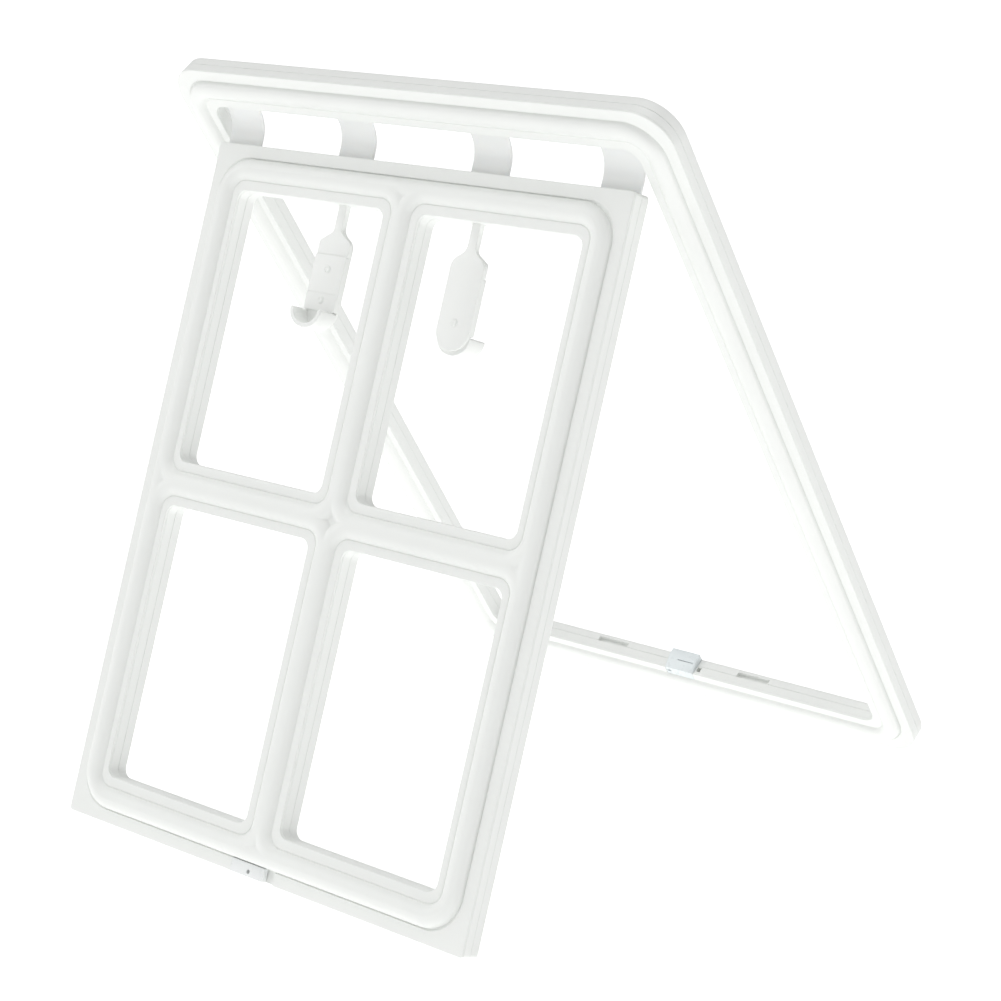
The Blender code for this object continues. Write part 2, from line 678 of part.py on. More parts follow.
sash_latch_tab = add_object(
    "sash_latch_tab",
    joined_mesh("sash_latch_tab", [
        box(TAB_LEFT, TAB_RIGHT, SASH_BOTTOM, tab_top,
            TAB_FLOOR + GAP, SASH_HALF_DEPTH + TAB_PROUD)]),
    sash_axes)
tab_hole = add_object(
    "tab_hole",
    joined_mesh("tab_hole", [
        cylinder((TAB_HOLE_X, SASH_BOTTOM + TAB_HOLE_HEIGHT, SASH_HALF_DEPTH),
                 TAB_HOLE_RADIUS, 2 * (SASH_HALF_DEPTH - TAB_FLOOR + OVERRUN))]),
    sash_axes, True)
boolean(sash_latch_tab, tab_hole, "DIFFERENCE")
finish(sash_latch_tab, LATCH_ABS)
sash_latch_keeper = add_object(
    "sash_latch_keeper",
    joined_mesh("sash_latch_keeper", [
        cylinder((KEEPER_X, keeper_y, TAB_FLOOR - 0.5 * KEEPER_HEIGHT),
                 KEEPER_RADIUS, KEEPER_HEIGHT)]),
    sash_axes)
finish(sash_latch_keeper, MAGNET_NICKEL)


# --------------------------------------------------------------- hinge straps

def strap_line():
    """The strap's centre line and its normal, from its frame end to its sash end."""
    turn = FRAME_LEAN + SASH_LEAN
    tangent = STRAP_BEND_RADIUS * math.tan(0.5 * turn)
    line = [(0.0, frame_inner_top + STRAP_GRIP, 0.0)]
    for step in range(STRAP_BEND_STEPS + 1):
        angle = turn * step / STRAP_BEND_STEPS
        z = STRAP_BEND_RADIUS * (1.0 - math.cos(angle))
        y = tangent - STRAP_BEND_RADIUS * math.sin(angle)
        line.append((z, y, angle))
    reach = -SASH_TOP + STRAP_GRIP
    line.append((reach * math.sin(turn), -reach * math.cos(turn), turn))
    return line


def strap_section():
    """The strap's outline in the (z, y) plane."""
    sides = {}
    for side in (1, -1):
        offset = side * STRAP_HALF_THICKNESS
        sides[side] = [
            (z + offset * math.cos(angle), y + offset * math.sin(angle))
            for z, y, angle in strap_line()]
    return sides[1] + sides[-1][::-1]


sash_in_frame = Matrix.Rotation(-(FRAME_LEAN + SASH_LEAN), 4, "X")
for index, centre in enumerate(STRAP_CENTRES, start=1):
    strap = add_object(
        f"hinge_strap_{index}",
        side_profile_mesh(strap_section(), centre - STRAP_HALF_WIDTH, centre + STRAP_HALF_WIDTH),
        frame_axes)
    holes = []
    for x in (centre - PEG_SPREAD, centre + PEG_SPREAD):
        frame_end = (x, frame_inner_top + RETAINER_FROM_EDGE, 0.0)
        sash_end = (x, SASH_TOP - RETAINER_FROM_EDGE, 0.0)
        holes.append(cylinder(frame_end, PEG_RADIUS + GAP, PEG_HOLE_LENGTH))
        holes.append(cylinder(sash_end, PEG_RADIUS + GAP, PEG_HOLE_LENGTH, sash_in_frame))
    cutter = add_object(
        f"strap_holes_{index}", joined_mesh(f"strap_holes_{index}", holes), frame_axes, True)
    boolean(strap, cutter, "DIFFERENCE")
    finish(strap, STRAP_TPU)


# ---------------------------------------------------------------------- hooks

def tapered_plate(bottom, round_bottom):
    """A stem that widens through two shoulders into a plate."""
    points = [
        (STEM_HALF_WIDTH, PLATE_TOP), (-STEM_HALF_WIDTH, PLATE_TOP),
        (-STEM_HALF_WIDTH, STEM_END), (-HOOK_HALF_WIDTH, SHOULDER_END),
    ]
    if round_bottom:
        for step in range(BACK_END_STEPS + 1):
            angle = math.pi + math.pi * step / BACK_END_STEPS
            points.append((HOOK_HALF_WIDTH * math.cos(angle),
                           bottom + HOOK_HALF_WIDTH + HOOK_HALF_WIDTH * math.sin(angle)))
    else:
        points += [(-HOOK_HALF_WIDTH, bottom), (HOOK_HALF_WIDTH, bottom)]
    points.append((HOOK_HALF_WIDTH, SHOULDER_END))
    points.append((STEM_HALF_WIDTH, STEM_END))
    return points


def core_outline():
    """The room inside the plates for the swivel's tongue and the cup's tab."""
    tongue = TONGUE_HALF_WIDTH + GAP
    tab = TAB_HALF_WIDTH + GAP
    low = TAB_Y[0] - GAP
    high = TAB_Y[1] + GAP
    return [
        (tongue, OVERRUN), (-tongue, OVERRUN), (-tongue, high), (-tab, high),
        (-tab, low), (tab, low), (tab, high), (tongue, high)]


def half_round(half_width, depth):
    """Points down and round the lower half of an oval, from left to right."""
    points = []
    for step in range(CUP_STEPS + 1):
        angle = math.pi + math.pi * step / CUP_STEPS
        points.append((half_width * math.cos(angle), CUP_TOP + depth * math.sin(angle)))
    return points


def hook_screw():
    """The profile of the screw that enters from the front and stops in the back plate."""
    face = LOWER_COVER_Z[1] + GAP
    return (
        (HOOK_SCREW_TOP_RADIUS, face + HOOK_SCREW_HEAD_HEIGHT),
        (HOOK_SCREW_HEAD_RADIUS, face),
        (HOOK_SCREW_RADIUS, face),
        (HOOK_SCREW_RADIUS, HOOK_SCREW_END),
    )


def hook_rivet():
    """The profile of the rivet, headed on both faces of the hook."""
    front = LOWER_COVER_Z[1] + GAP
    rear = BACK_Z[0] - GAP
    return (
        (HOOK_SCREW_TOP_RADIUS, front + HOOK_SCREW_HEAD_HEIGHT),
        (HOOK_SCREW_HEAD_RADIUS, front),
        (HOOK_SCREW_RADIUS, front),
        (HOOK_SCREW_RADIUS, rear),
        (HOOK_SCREW_HEAD_RADIUS, rear),
        (HOOK_SCREW_TOP_RADIUS, rear - HOOK_SCREW_HEAD_HEIGHT),
    )


def build_hook(side, axes):
    """All the pieces of one hook, about its swivel axis."""
    holes = add_object(
        f"hook_holes_{side}",
        joined_mesh(f"hook_holes_{side}", [
            cylinder((0.0, y, 0.0), HOOK_SCREW_RADIUS + GAP, HOOK_HOLE_LENGTH)
            for y in (SCREW_Y, RIVET_Y)]),
        axes, True)
    core = CORE_HALF_THICKNESS + GAP
    core_pocket = add_object(
        f"hook_core_pocket_{side}", plate_mesh([core_outline()], -core, core), axes, True)

    def plate(name, outline, z_range, mat):
        obj = add_object(name, plate_mesh([outline], *z_range), axes)
        boolean(obj, core_pocket, "DIFFERENCE")
        boolean(obj, holes, "DIFFERENCE")
        return finish(obj, mat)

    plate(f"hook_{side}_back_plate", tapered_plate(BACK_END, True), BACK_Z, HOOK_ABS)
    plate(f"hook_{side}_upper_cover", tapered_plate(COVER_SPLIT + GAP, False),
          UPPER_COVER_Z, HOOK_ABS)
    lower = [(-HOOK_HALF_WIDTH, COVER_END), (HOOK_HALF_WIDTH, COVER_END),
             (HOOK_HALF_WIDTH, COVER_SPLIT), (-HOOK_HALF_WIDTH, COVER_SPLIT)]
    plate(f"hook_{side}_lower_cover", lower, LOWER_COVER_Z, HOOK_ABS)

    cup = add_object(
        f"hook_{side}_cup", plate_mesh([half_round(*CUP_OUTER)], *CUP_Z), axes)
    above = CUP_TOP + OVERRUN
    hollow_outline = half_round(*CUP_INNER) + [(CUP_INNER[0], above), (-CUP_INNER[0], above)]
    hollow = add_object(
        f"hook_cup_hollow_{side}",
        plate_mesh([hollow_outline], CUP_FLOOR_Z, CUP_Z[1] + OVERRUN), axes, True)
    tab = add_object(
        f"hook_tab_{side}",
        joined_mesh(f"hook_tab_{side}", [
            box(-TAB_HALF_WIDTH, TAB_HALF_WIDTH, *TAB_Y,
                -CORE_HALF_THICKNESS, CORE_HALF_THICKNESS)]),
        axes, True)
    boolean(cup, hollow, "DIFFERENCE")
    boolean(cup, tab, "UNION")
    boolean(cup, holes, "DIFFERENCE")
    finish(cup, HOOK_ABS)

    tongue = add_object(
        f"hook_{side}_swivel",
        joined_mesh(f"hook_{side}_swivel", [
            box(-TONGUE_HALF_WIDTH, TONGUE_HALF_WIDTH, TONGUE_END, TONGUE_TOP,
                -CORE_HALF_THICKNESS, CORE_HALF_THICKNESS)]),
        axes)
    neck = add_object(
        f"hook_neck_{side}",
        joined_mesh(f"hook_neck_{side}", [turned((
            (SWIVEL_HEAD_RADIUS, SWIVEL_LENGTH),
            (SWIVEL_HEAD_RADIUS, SWIVEL_LENGTH - SWIVEL_HEAD_HEIGHT),
            (SWIVEL_RADIUS, SWIVEL_LENGTH - SWIVEL_HEAD_HEIGHT),
            (SWIVEL_RADIUS, NECK_END)), swivel_turn)]), axes, True)
    boolean(tongue, neck, "UNION")
    boolean(tongue, holes, "DIFFERENCE")
    finish(tongue, SWIVEL_ABS)

    for name, profile, y in (("screw", hook_screw(), SCREW_Y), ("rivet", hook_rivet(), RIVET_Y)):
        mesh = joined_mesh(f"hook_{side}_{name}", [
            turned(profile, Matrix.Translation((0.0, y, 0.0)))])
        finish(add_object(f"hook_{side}_{name}", mesh, axes), HOOK_ABS)


build_hook("left", hook_left_axes)
build_hook("right", hook_right_axes)
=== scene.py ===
"""Looks for the top-hung sash: fine moulded shells, straps, hooks, latch and their materials.

Each panel is built in its own axes (millimetres): X along the hinge line, Y up
the panel, Z out of its front face, with zero on the hinge line and half way
through the panel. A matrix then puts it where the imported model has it.
"""
import json
import math

import bmesh
import bpy
import numpy as np
from mathutils import Matrix, Vector


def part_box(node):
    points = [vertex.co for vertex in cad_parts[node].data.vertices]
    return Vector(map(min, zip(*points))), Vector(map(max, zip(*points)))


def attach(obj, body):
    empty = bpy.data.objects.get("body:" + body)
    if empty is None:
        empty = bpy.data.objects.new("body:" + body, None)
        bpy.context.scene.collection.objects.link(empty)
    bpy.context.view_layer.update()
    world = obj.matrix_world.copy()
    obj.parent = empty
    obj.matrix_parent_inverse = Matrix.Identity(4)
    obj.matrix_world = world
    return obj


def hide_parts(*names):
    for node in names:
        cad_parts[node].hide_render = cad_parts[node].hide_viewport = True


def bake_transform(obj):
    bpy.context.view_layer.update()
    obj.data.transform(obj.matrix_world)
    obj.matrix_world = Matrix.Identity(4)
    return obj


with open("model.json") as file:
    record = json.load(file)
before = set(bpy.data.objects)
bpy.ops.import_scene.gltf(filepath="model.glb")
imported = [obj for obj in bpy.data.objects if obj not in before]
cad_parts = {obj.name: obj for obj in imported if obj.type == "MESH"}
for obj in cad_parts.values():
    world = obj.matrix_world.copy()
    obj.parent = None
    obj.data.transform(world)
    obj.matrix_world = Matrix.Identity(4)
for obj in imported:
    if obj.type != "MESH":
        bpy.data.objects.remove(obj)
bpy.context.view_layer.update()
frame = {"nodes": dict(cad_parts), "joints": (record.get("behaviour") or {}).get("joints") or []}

MM = 0.001
CLEARANCE = 0.3

# Stance
FRAME_LEAN = math.radians(34.0)
SASH_LEAN = math.radians(20.0)

# Frame
FRAME_TOP = 41.0
FRAME_BOTTOM = -471.0
FRAME_RAIL = 25.0
FRAME_HALF_DEPTH = 6.1
FRAME_CORNER = 22.0
FRAME_INNER_CORNER = 9.0
FRAME_ROLL_INSET = 13.2
FRAME_ROLL_CORNER = 16.0
FRAME_ROLL_RADIUS = 5.7

# Sash
SASH_TOP = -14.7
SASH_BOTTOM = -416.7
SASH_HALF_DEPTH = 6.75
SASH_CORNER = 2.0
SASH_STILE = 25.3
SASH_RAIL = 26.8
BAR_HALF_WIDTH = 13.0
LIGHT_CORNER = 6.0
SASH_ROLL_INSET = 14.0
SASH_ROLL_CORNER = 17.0
SASH_ROLL_RADIUS = 6.0
LIGHT_ROLL_INSET = 14.6
LIGHT_ROLL_OFFSET = 1.2
LIGHT_ROLL_CORNER = 15.0

# Mouldings
ROLL_FLATTEN = 0.79
ROLL_SINK = 0.35
LIP_HEIGHT = 1.3
BLEND_WIDTH = 0.7
BEAD_HEIGHT = 0.3
BEAD_STEP = (1.3, 0.9)
GROOVE_OFFSET = 0.15
GROOVE_WIDTH = 0.32
GROOVE_DEPTH = 0.5
OUTER_GROOVE_WIDTH = 0.45
OUTER_GROOVE_DEPTH = 1.1
SEAM = 0.06
SEAM_CHAMFER = 0.16
EDGE_RADIUS = 0.55
CORNER_STEPS = 20
SIDE_STEPS = 14

# Straps
STRAP_HALF_WIDTH = 13.4
STRAP_HALF_THICKNESS = 0.9
STRAP_BEND_RADIUS = 18.0
STRAP_GRIP = 11.0

# Latch
LATCH_CENTRE = 3.0
LATCH_HALF_WIDTH = 11.0
LATCH_DEPTH = 5.8
LATCH_PROUD = 4.5
LATCH_FRONT_PROUD = 0.5
LATCH_RIDGE_Z = -1.5
SLOT_CENTRE = 57.3
SLOT_HALF_LENGTH = 12.3
SLOT_Z = (-3.4, 0.4)
SLOT_DEPTH = 3.0
CATCH_NOTCH_X = (1.2, 4.2)
CATCH_NOTCH_Z = (1.0, 4.5)
CATCH_NOTCH_DEPTH = 4.5
TAB_LEFT = -17.2
TAB_RIGHT = 7.8
NOTCH_RIGHT = 15.8
TAB_HEIGHT = 7.6
TAB_FLOOR = 3.0
TAB_PROUD = 0.5
TAB_HOLE_X = -3.4
TAB_HOLE_HEIGHT = 3.0
TAB_HOLE_RADIUS = 1.2

# Screws
SCREW_HEAD_RADIUS = 2.7
SCREW_RECESS = 0.4
SCREW_SHANK_RADIUS = 1.3
SCREW_WELL_DEPTH = 2.0
CROSS_HALF_LENGTH = 1.55
CROSS_HALF_WIDTH = 0.32
FRAME_SCREW_X = 166.5
FRAME_SCREW_Y = (27.5, -130.0, -300.0, -457.5)
SASH_SCREW_X = 138.5
SASH_SCREW_Y = (-35.0, -215.7, -403.0)

# Hooks
HOOK_HALF_WIDTH = 11.8
STEM_HALF_WIDTH = 3.0
PLATE_TOP = 2.0
STEM_END = -15.5
SHOULDER_END = -21.0
BACK_END = -70.3
COVER_SPLIT = -29.0
COVER_STEP = -50.8
COVER_END = -61.0
BACK_Z = (-2.0, 0.2)
CORE_HALF_THICKNESS = 0.6
UPPER_COVER_Z = (-0.2, 2.0)
LOWER_COVER_Z = (-0.2, 2.8)
TAB_CORE = (8.0, -64.0, -43.0)
CUP_TOP = -61.3
CUP_OUTER = (11.8, 11.2)
CUP_INNER = (9.2, 8.6)
CUP_Z = (0.05, 13.3)
CUP_FLOOR_Z = 1.8
HOOK_SCREW_Y = -37.3
HOOK_RIVET_Y = -54.8
FASTENER_HEIGHT = 0.55

# Camera
CAMERA_LENS = 88.39
CAMERA_AZIMUTH = math.radians(40.066)
CAMERA_ELEVATION = math.radians(15.591)
CAMERA_ROLL = math.radians(0.058)
CAMERA_PLACE = (0.90483, -1.01285, 0.56733)

joints = {joint["name"]: joint for joint in frame["joints"]}
hinge_point = Vector(joints["sash_hinge"]["pos_m"])
scale_mm = Matrix.Scale(MM, 4)
at_hinge = Matrix.Translation(hinge_point)
frame_upright = Matrix.Rotation(0.5 * math.pi + FRAME_LEAN, 4, "X")
sash_upright = Matrix.Rotation(0.5 * math.pi - SASH_LEAN, 4, "X")
to_frame = at_hinge @ frame_upright @ scale_mm
to_sash = at_hinge @ sash_upright @ scale_mm
frame_half_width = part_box("frame_front_shell")[1].x / MM
sash_half_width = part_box("sash_front_shell")[1].x / MM
sash_mid = 0.5 * (SASH_TOP + SASH_BOTTOM)
sash_half_height = 0.5 * (SASH_TOP - SASH_BOTTOM)
sill = FRAME_BOTTOM + FRAME_RAIL


# ------------------------------------------------------------------ materials

def plastic(name, colour, roughness, fleck=0.02, bump=0.05, subsurface=0.0):
    """Moulded plastic: faint flow clouding, uneven gloss and a fine orange-peel surface."""
    mat = bpy.data.materials.new(name)
    mat.use_nodes = True
    nodes = mat.node_tree.nodes
    links = mat.node_tree.links
    shader = nodes["Principled BSDF"]
    shader.inputs["IOR"].default_value = 1.5
    if subsurface:
        shader.inputs["Subsurface Weight"].default_value = subsurface
        shader.inputs["Subsurface Radius"].default_value = (1.0, 0.9, 0.8)
        shader.inputs["Subsurface Scale"].default_value = 0.0015
    where = nodes.new("ShaderNodeTexCoord")
    cloud = nodes.new("ShaderNodeTexNoise")
    cloud.inputs["Scale"].default_value = 22.0
    cloud.inputs["Detail"].default_value = 4.0
    links.new(where.outputs["Object"], cloud.inputs["Vector"])
    tint = nodes.new("ShaderNodeMix")
    tint.data_type = "RGBA"
    tint.inputs["A"].default_value = (*[c * (1.0 - fleck) for c in colour], 1.0)
    tint.inputs["B"].default_value = (*[min(1.0, c * (1.0 + fleck)) for c in colour], 1.0)
    links.new(cloud.outputs["Fac"], tint.inputs["Factor"])
    scuff = nodes.new("ShaderNodeTexNoise")
    scuff.inputs["Scale"].default_value = 260.0
    scuff.inputs["Detail"].default_value = 6.0
    scuff.inputs["Roughness"].default_value = 0.65
    links.new(where.outputs["Object"], scuff.inputs["Vector"])
    scuff_range = nodes.new("ShaderNodeMapRange")
    scuff_range.inputs["From Min"].default_value = 0.35
    scuff_range.inputs["From Max"].default_value = 0.75
    scuff_range.inputs["To Min"].default_value = roughness - 0.05
    scuff_range.inputs["To Max"].default_value = roughness + 0.08
    links.new(scuff.outputs["Fac"], scuff_range.inputs["Value"])
    links.new(scuff_range.outputs["Result"], shader.inputs["Roughness"])
    links.new(tint.outputs["Result"], shader.inputs["Base Color"])
    peel = nodes.new("ShaderNodeTexNoise")
    peel.inputs["Scale"].default_value = 900.0
    peel.inputs["Detail"].default_value = 3.0
    links.new(where.outputs["Object"], peel.inputs["Vector"])
    relief = nodes.new("ShaderNodeBump")
    relief.inputs["Strength"].default_value = bump
    relief.inputs["Distance"].default_value = 0.0002
    links.new(peel.outputs["Fac"], relief.inputs["Height"])
    links.new(relief.outputs["Normal"], shader.inputs["Normal"])
    return mat


def metal(name, colour, roughness):
    """Plated steel with fine turning scratches."""
    mat = bpy.data.materials.new(name)
    mat.use_nodes = True
    nodes = mat.node_tree.nodes
    links = mat.node_tree.links
    shader = nodes["Principled BSDF"]
    shader.inputs["Metallic"].default_value = 1.0
    where = nodes.new("ShaderNodeTexCoord")
    grain = nodes.new("ShaderNodeTexNoise")
    grain.inputs["Scale"].default_value = 1400.0
    grain.inputs["Detail"].default_value = 5.0
    links.new(where.outputs["Object"], grain.inputs["Vector"])
    tint = nodes.new("ShaderNodeMix")
    tint.data_type = "RGBA"
    tint.inputs["A"].default_value = (*[c * 0.9 for c in colour], 1.0)
    tint.inputs["B"].default_value = (*[min(1.0, c * 1.06) for c in colour], 1.0)
    links.new(grain.outputs["Fac"], tint.inputs["Factor"])
    links.new(tint.outputs["Result"], shader.inputs["Base Color"])
    gloss = nodes.new("ShaderNodeMapRange")
    gloss.inputs["To Min"].default_value = roughness - 0.08
    gloss.inputs["To Max"].default_value = roughness + 0.1
    links.new(grain.outputs["Fac"], gloss.inputs["Value"])
    links.new(gloss.outputs["Result"], shader.inputs["Roughness"])
    return mat


WHITE_ABS = plastic("white_abs_front", (0.872, 0.888, 0.866), 0.40)
WHITE_ABS_REAR = plastic("white_abs_rear_side", (0.862, 0.876, 0.856), 0.46, bump=0.09)
STRAP_TPU = plastic("strap_elastomer", (0.882, 0.896, 0.888), 0.36, bump=0.03, subsurface=0.15)
LATCH_ABS = plastic("latch_gloss", (0.76, 0.81, 0.822), 0.30, bump=0.02)
TAB_ABS = plastic("latch_tab_gloss", (0.855, 0.875, 0.872), 0.30, bump=0.02)
HOOK_ABS = plastic("hook_satin", (0.880, 0.895, 0.874), 0.36, bump=0.04)
HIDDEN_ABS = plastic("retainer_natural", (0.66, 0.67, 0.65), 0.5, fleck=0.05, bump=0.1)
SCREW_STEEL = metal("screw_plated", (0.62, 0.63, 0.62), 0.34)
MAGNET_NICKEL = metal("magnet_plated", (0.58, 0.58, 0.59), 0.25)


# ----------------------------------------------------------------- mesh tools

def add_piece(name, mesh, matrix, body, mat, nodes, smooth_angle=34.0):
    """Put a finished mesh in the scene on its body, in place of the CAD nodes named."""
    mesh.transform(matrix)
    mesh.materials.clear()
    mesh.materials.append(mat)
    mesh.shade_smooth()
    mesh.set_sharp_from_angle(angle=math.radians(smooth_angle))
    obj = bpy.data.objects.new(name, mesh)
    bpy.context.scene.collection.objects.link(obj)
    if body:
        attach(obj, body)
    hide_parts(*nodes)
    return obj


def welded(verts, faces, name, distance=1e-4):
    """A mesh from loose quads, with shared points merged and its faces pointing out."""
    mesh = bpy.data.meshes.new(name)
    mesh.from_pydata([tuple(v) for v in verts], [], faces)
    work = bmesh.new()
    work.from_mesh(mesh)
    bmesh.ops.remove_doubles(work, verts=work.verts, dist=distance)
    bmesh.ops.recalc_face_normals(work, faces=work.faces)
    work.to_mesh(mesh)
    work.free()
    return mesh


def evaluated(curve_or_mesh, modifiers=()):
    """The mesh of a curve or mesh after its modifiers."""
    guide = bpy.data.objects.new("guide", curve_or_mesh)
    bpy.context.scene.collection.objects.link(guide)
    for kind, settings in modifiers:
        modifier = guide.modifiers.new(kind.lower(), kind)
        for key, value in settings.items():
            setattr(modifier, key, value)
    depsgraph = bpy.context.evaluated_depsgraph_get()
    mesh = bpy.data.meshes.new_from_object(guide.evaluated_get(depsgraph))
    bpy.data.objects.remove(guide, do_unlink=True)
    return mesh


def cut(mesh, cutter_mesh, operation="DIFFERENCE"):
    """The mesh after one Boolean with another mesh."""
    tool = bpy.data.objects.new("tool", cutter_mesh)
    bpy.context.scene.collection.objects.link(tool)
    result = evaluated(mesh, [
        ("BOOLEAN", {"operation": operation, "solver": "EXACT", "object": tool})])
    bpy.data.objects.remove(tool, do_unlink=True)
    return result


def solids(*builders):
    """Several closed solids in one mesh. As a cutter they may not overlap."""
    mesh = bpy.data.meshes.new("solids")
    work = bmesh.new()
    for build in builders:
        build(work)
    work.to_mesh(mesh)
    work.free()
    return mesh


def box(x0, x1, y0, y1, z0, z1, radius=0.0, segments=2):
    """A builder for a box between two corners, with rounded edges if it has a radius."""
    size = Vector((x1 - x0, y1 - y0, z1 - z0))
    centre = Vector((x0 + x1, y0 + y1, z0 + z1)) * 0.5
    matrix = Matrix.Translation(centre) @ Matrix.Diagonal((*size, 1.0))

    def build(work):
        made = bmesh.ops.create_cube(work, size=1.0, matrix=matrix)
        if radius:
            edges = list({edge for vert in made["verts"] for edge in vert.link_edges})
            bmesh.ops.bevel(work, geom=edges, offset=radius, segments=segments, profile=0.5,
                            affect="EDGES")
    return build


def cylinder(centre, radius, length, sides=32):
    """A builder for a cylinder along Z."""
    matrix = Matrix.Translation(centre)
    return lambda work: bmesh.ops.create_cone(
        work, cap_ends=True, segments=sides, radius1=radius, radius2=radius,
        depth=length, matrix=matrix)


def turned_mesh(profile, steps=40):
    """A turned solid: (radius, height) down its side from top to bottom."""
    points = [(0.0, profile[0][1]), *profile, (0.0, profile[-1][1])]
    outline = bpy.data.meshes.new("outline")
    edges = [(i, i + 1) for i in range(len(points) - 1)]
    outline.from_pydata([(radius, 0.0, height) for radius, height in points], edges, [])
    return evaluated(outline, [("SCREW", {
        "steps": steps, "render_steps": steps, "use_merge_vertices": True,
        "merge_threshold": 0.00001})])


def ready(mesh):
    """A builder that adds a ready mesh."""
    return lambda work: work.from_mesh(mesh)


def flat_plate(outlines, z0, z1, bevel):
    """A plate with rounded edges; outlines after the first are holes."""
    curve = bpy.data.curves.new("plate", "CURVE")
    curve.dimensions = "2D"
    curve.fill_mode = "BOTH"
    curve.extrude = 0.5 * (z1 - z0) - bevel
    curve.bevel_depth = bevel
    curve.bevel_resolution = 2
    curve.offset = -bevel
    for outline in outlines:
        spline = curve.splines.new("POLY")
        spline.points.add(len(outline) - 1)
        for vertex, point in zip(spline.points, outline):
            vertex.co = (point[0], point[1], 0.0, 1.0)
        spline.use_cyclic_u = True
    mesh = evaluated(curve)
    work = bmesh.new()
    work.from_mesh(mesh)
    bmesh.ops.remove_doubles(work, verts=work.verts, dist=0.001)
    bmesh.ops.recalc_face_normals(work, faces=work.faces)
    work.to_mesh(mesh)
    work.free()
    mesh.transform(Matrix.Translation((0.0, 0.0, 0.5 * (z0 + z1))))
    return mesh


def side_plate(points, x0, x1, bevel):
    """A solid of constant (z, y) section from x0 to x1, with rounded ends."""
    mesh = flat_plate([[(-z, y) for z, y in points]], x0, x1, bevel)
    mesh.transform(Matrix.Rotation(math.radians(90), 4, "Y"))
    return mesh


# ---------------------------------------------------------------- roll profile

def arc(cx, cy, radius, start, steps=CORNER_STEPS):
    """Points along a quarter circle, anticlockwise from the start angle."""
    angle = start + np.linspace(0.0, 0.5 * math.pi, steps + 1)
    return np.stack([cx + radius * np.cos(angle), cy + radius * np.sin(angle)], axis=1)


def line(a, b, steps):
    """Points from a to b, both ends included."""
    t = np.linspace(0.0, 1.0, steps + 1)[:, None]
    return np.asarray(a) * (1.0 - t) + np.asarray(b) * t


def with_sides(corners):
    """A closed ring through four corners, each a row of points, with straight sides between."""
    rows = []
    for corner, following in zip(corners, corners[1:] + corners[:1]):
        rows.append(corner)
        rows.append(line(corner[-1], following[0], SIDE_STEPS)[1:-1])
    return np.concatenate(rows)


def rectangle_ring(x0, x1, y0, y1, radius):
    """A closed ring round a rectangle with round corners, from its lower right corner."""
    return with_sides([
        arc(x1 - radius, y0 + radius, radius, -0.5 * math.pi),
        arc(x1 - radius, y1 - radius, radius, 0.0),
        arc(x0 + radius, y1 - radius, radius, 0.5 * math.pi),
        arc(x0 + radius, y0 + radius, radius, math.pi),
    ])


def path_distance(x, y, x0, x1, y0, y1, radius):
    """Distance to the outline of a rectangle with round corners, negative inside it."""
    qx = np.abs(x - 0.5 * (x0 + x1)) - 0.5 * (x1 - x0) + radius
    qy = np.abs(y - 0.5 * (y0 + y1)) - 0.5 * (y1 - y0) + radius
    outside = np.hypot(np.maximum(qx, 0.0), np.maximum(qy, 0.0))
    return outside + np.minimum(np.maximum(qx, qy), 0.0) - radius


def roll_height(distance, radius, face):
    """Height of the half-round roll at a distance from its path."""
    distance = np.abs(distance)
    dome = ROLL_FLATTEN * np.sqrt(np.maximum(radius ** 2 - distance ** 2, 0.0))
    return face - ROLL_SINK + dome - 3.0 * np.maximum(distance - radius, 0.0)


def soft_max(a, b, width=BLEND_WIDTH):
    """The higher of two surfaces, with a small fillet where they meet."""
    return np.maximum(a, b) + np.maximum(width - np.abs(a - b), 0.0) ** 2 / (4.0 * width)


def smooth_step(value, low, high):
    """Rises smoothly from 0 at the low value to 1 at the high one."""
    t = np.clip((value - low) / (high - low), 0.0, 1.0)
    return t * t * (3.0 - 2.0 * t)


def crease(distance, radius, width):
    """The groove at the foot of a roll, from 0 to 1 at its deepest."""
    return np.exp(-((distance - radius - GROOVE_OFFSET) / width) ** 2)


def edge_round(radius, steps=4):
    """Steps round a quarter circle: (distance in from the wall, drop below the face)."""
    angle = np.linspace(0.0, 0.5 * math.pi, steps + 1)
    return [(radius * (1.0 - math.sin(a)), radius * (1.0 - math.cos(a))) for a in angle]


def wall_rows(face, groove_drop, groove_depth):
    """A wall from the front face down to the seam: (distance in, height) rows."""
    rows = [(inward, face - drop) for inward, drop in edge_round(EDGE_RADIUS)]
    if groove_depth:
        top = face - groove_drop
        rows += [(0.0, top), (groove_depth, top - 0.18),
                 (groove_depth, top - 0.32), (0.0, top - 0.5)]
    rows += [(0.0, 2.4), (0.0, SEAM + SEAM_CHAMFER), (SEAM_CHAMFER, SEAM)]
    return rows


def rear_wall_rows(face, radius):
    """The rear shell's wall, from the seam down to the rear face."""
    rows = [(SEAM_CHAMFER, -SEAM), (0.0, -SEAM - SEAM_CHAMFER), (0.0, -2.6)]
    rows += [(inward, -face + drop) for inward, drop in reversed(edge_round(radius))]
    return rows


class Shell:
    """Collects rings of points and the quads between them."""

    def __init__(self):
        self.verts = []
        self.faces = []

    def add(self, points, z):
        """Add a row of points at one height, or at a height each."""
        start = len(self.verts)
        heights = np.broadcast_to(np.asarray(z, float), (len(points),))
        self.verts.extend((float(x), float(y), float(h)) for (x, y), h in zip(points, heights))
        return range(start, start + len(points))

    def join(self, a, b, closed):
        """Add the quads between two rows."""
        count = len(a)
        for i in range(count if closed else count - 1):
            j = (i + 1) % count
            self.faces.append((a[i], a[j], b[j], b[i]))

    def loft(self, rings, closed=True):
        """Add the quads between each row and the next."""
        for a, b in zip(rings, rings[1:]):
            self.join(a, b, closed)


# ---------------------------------------------------------------- frame shells

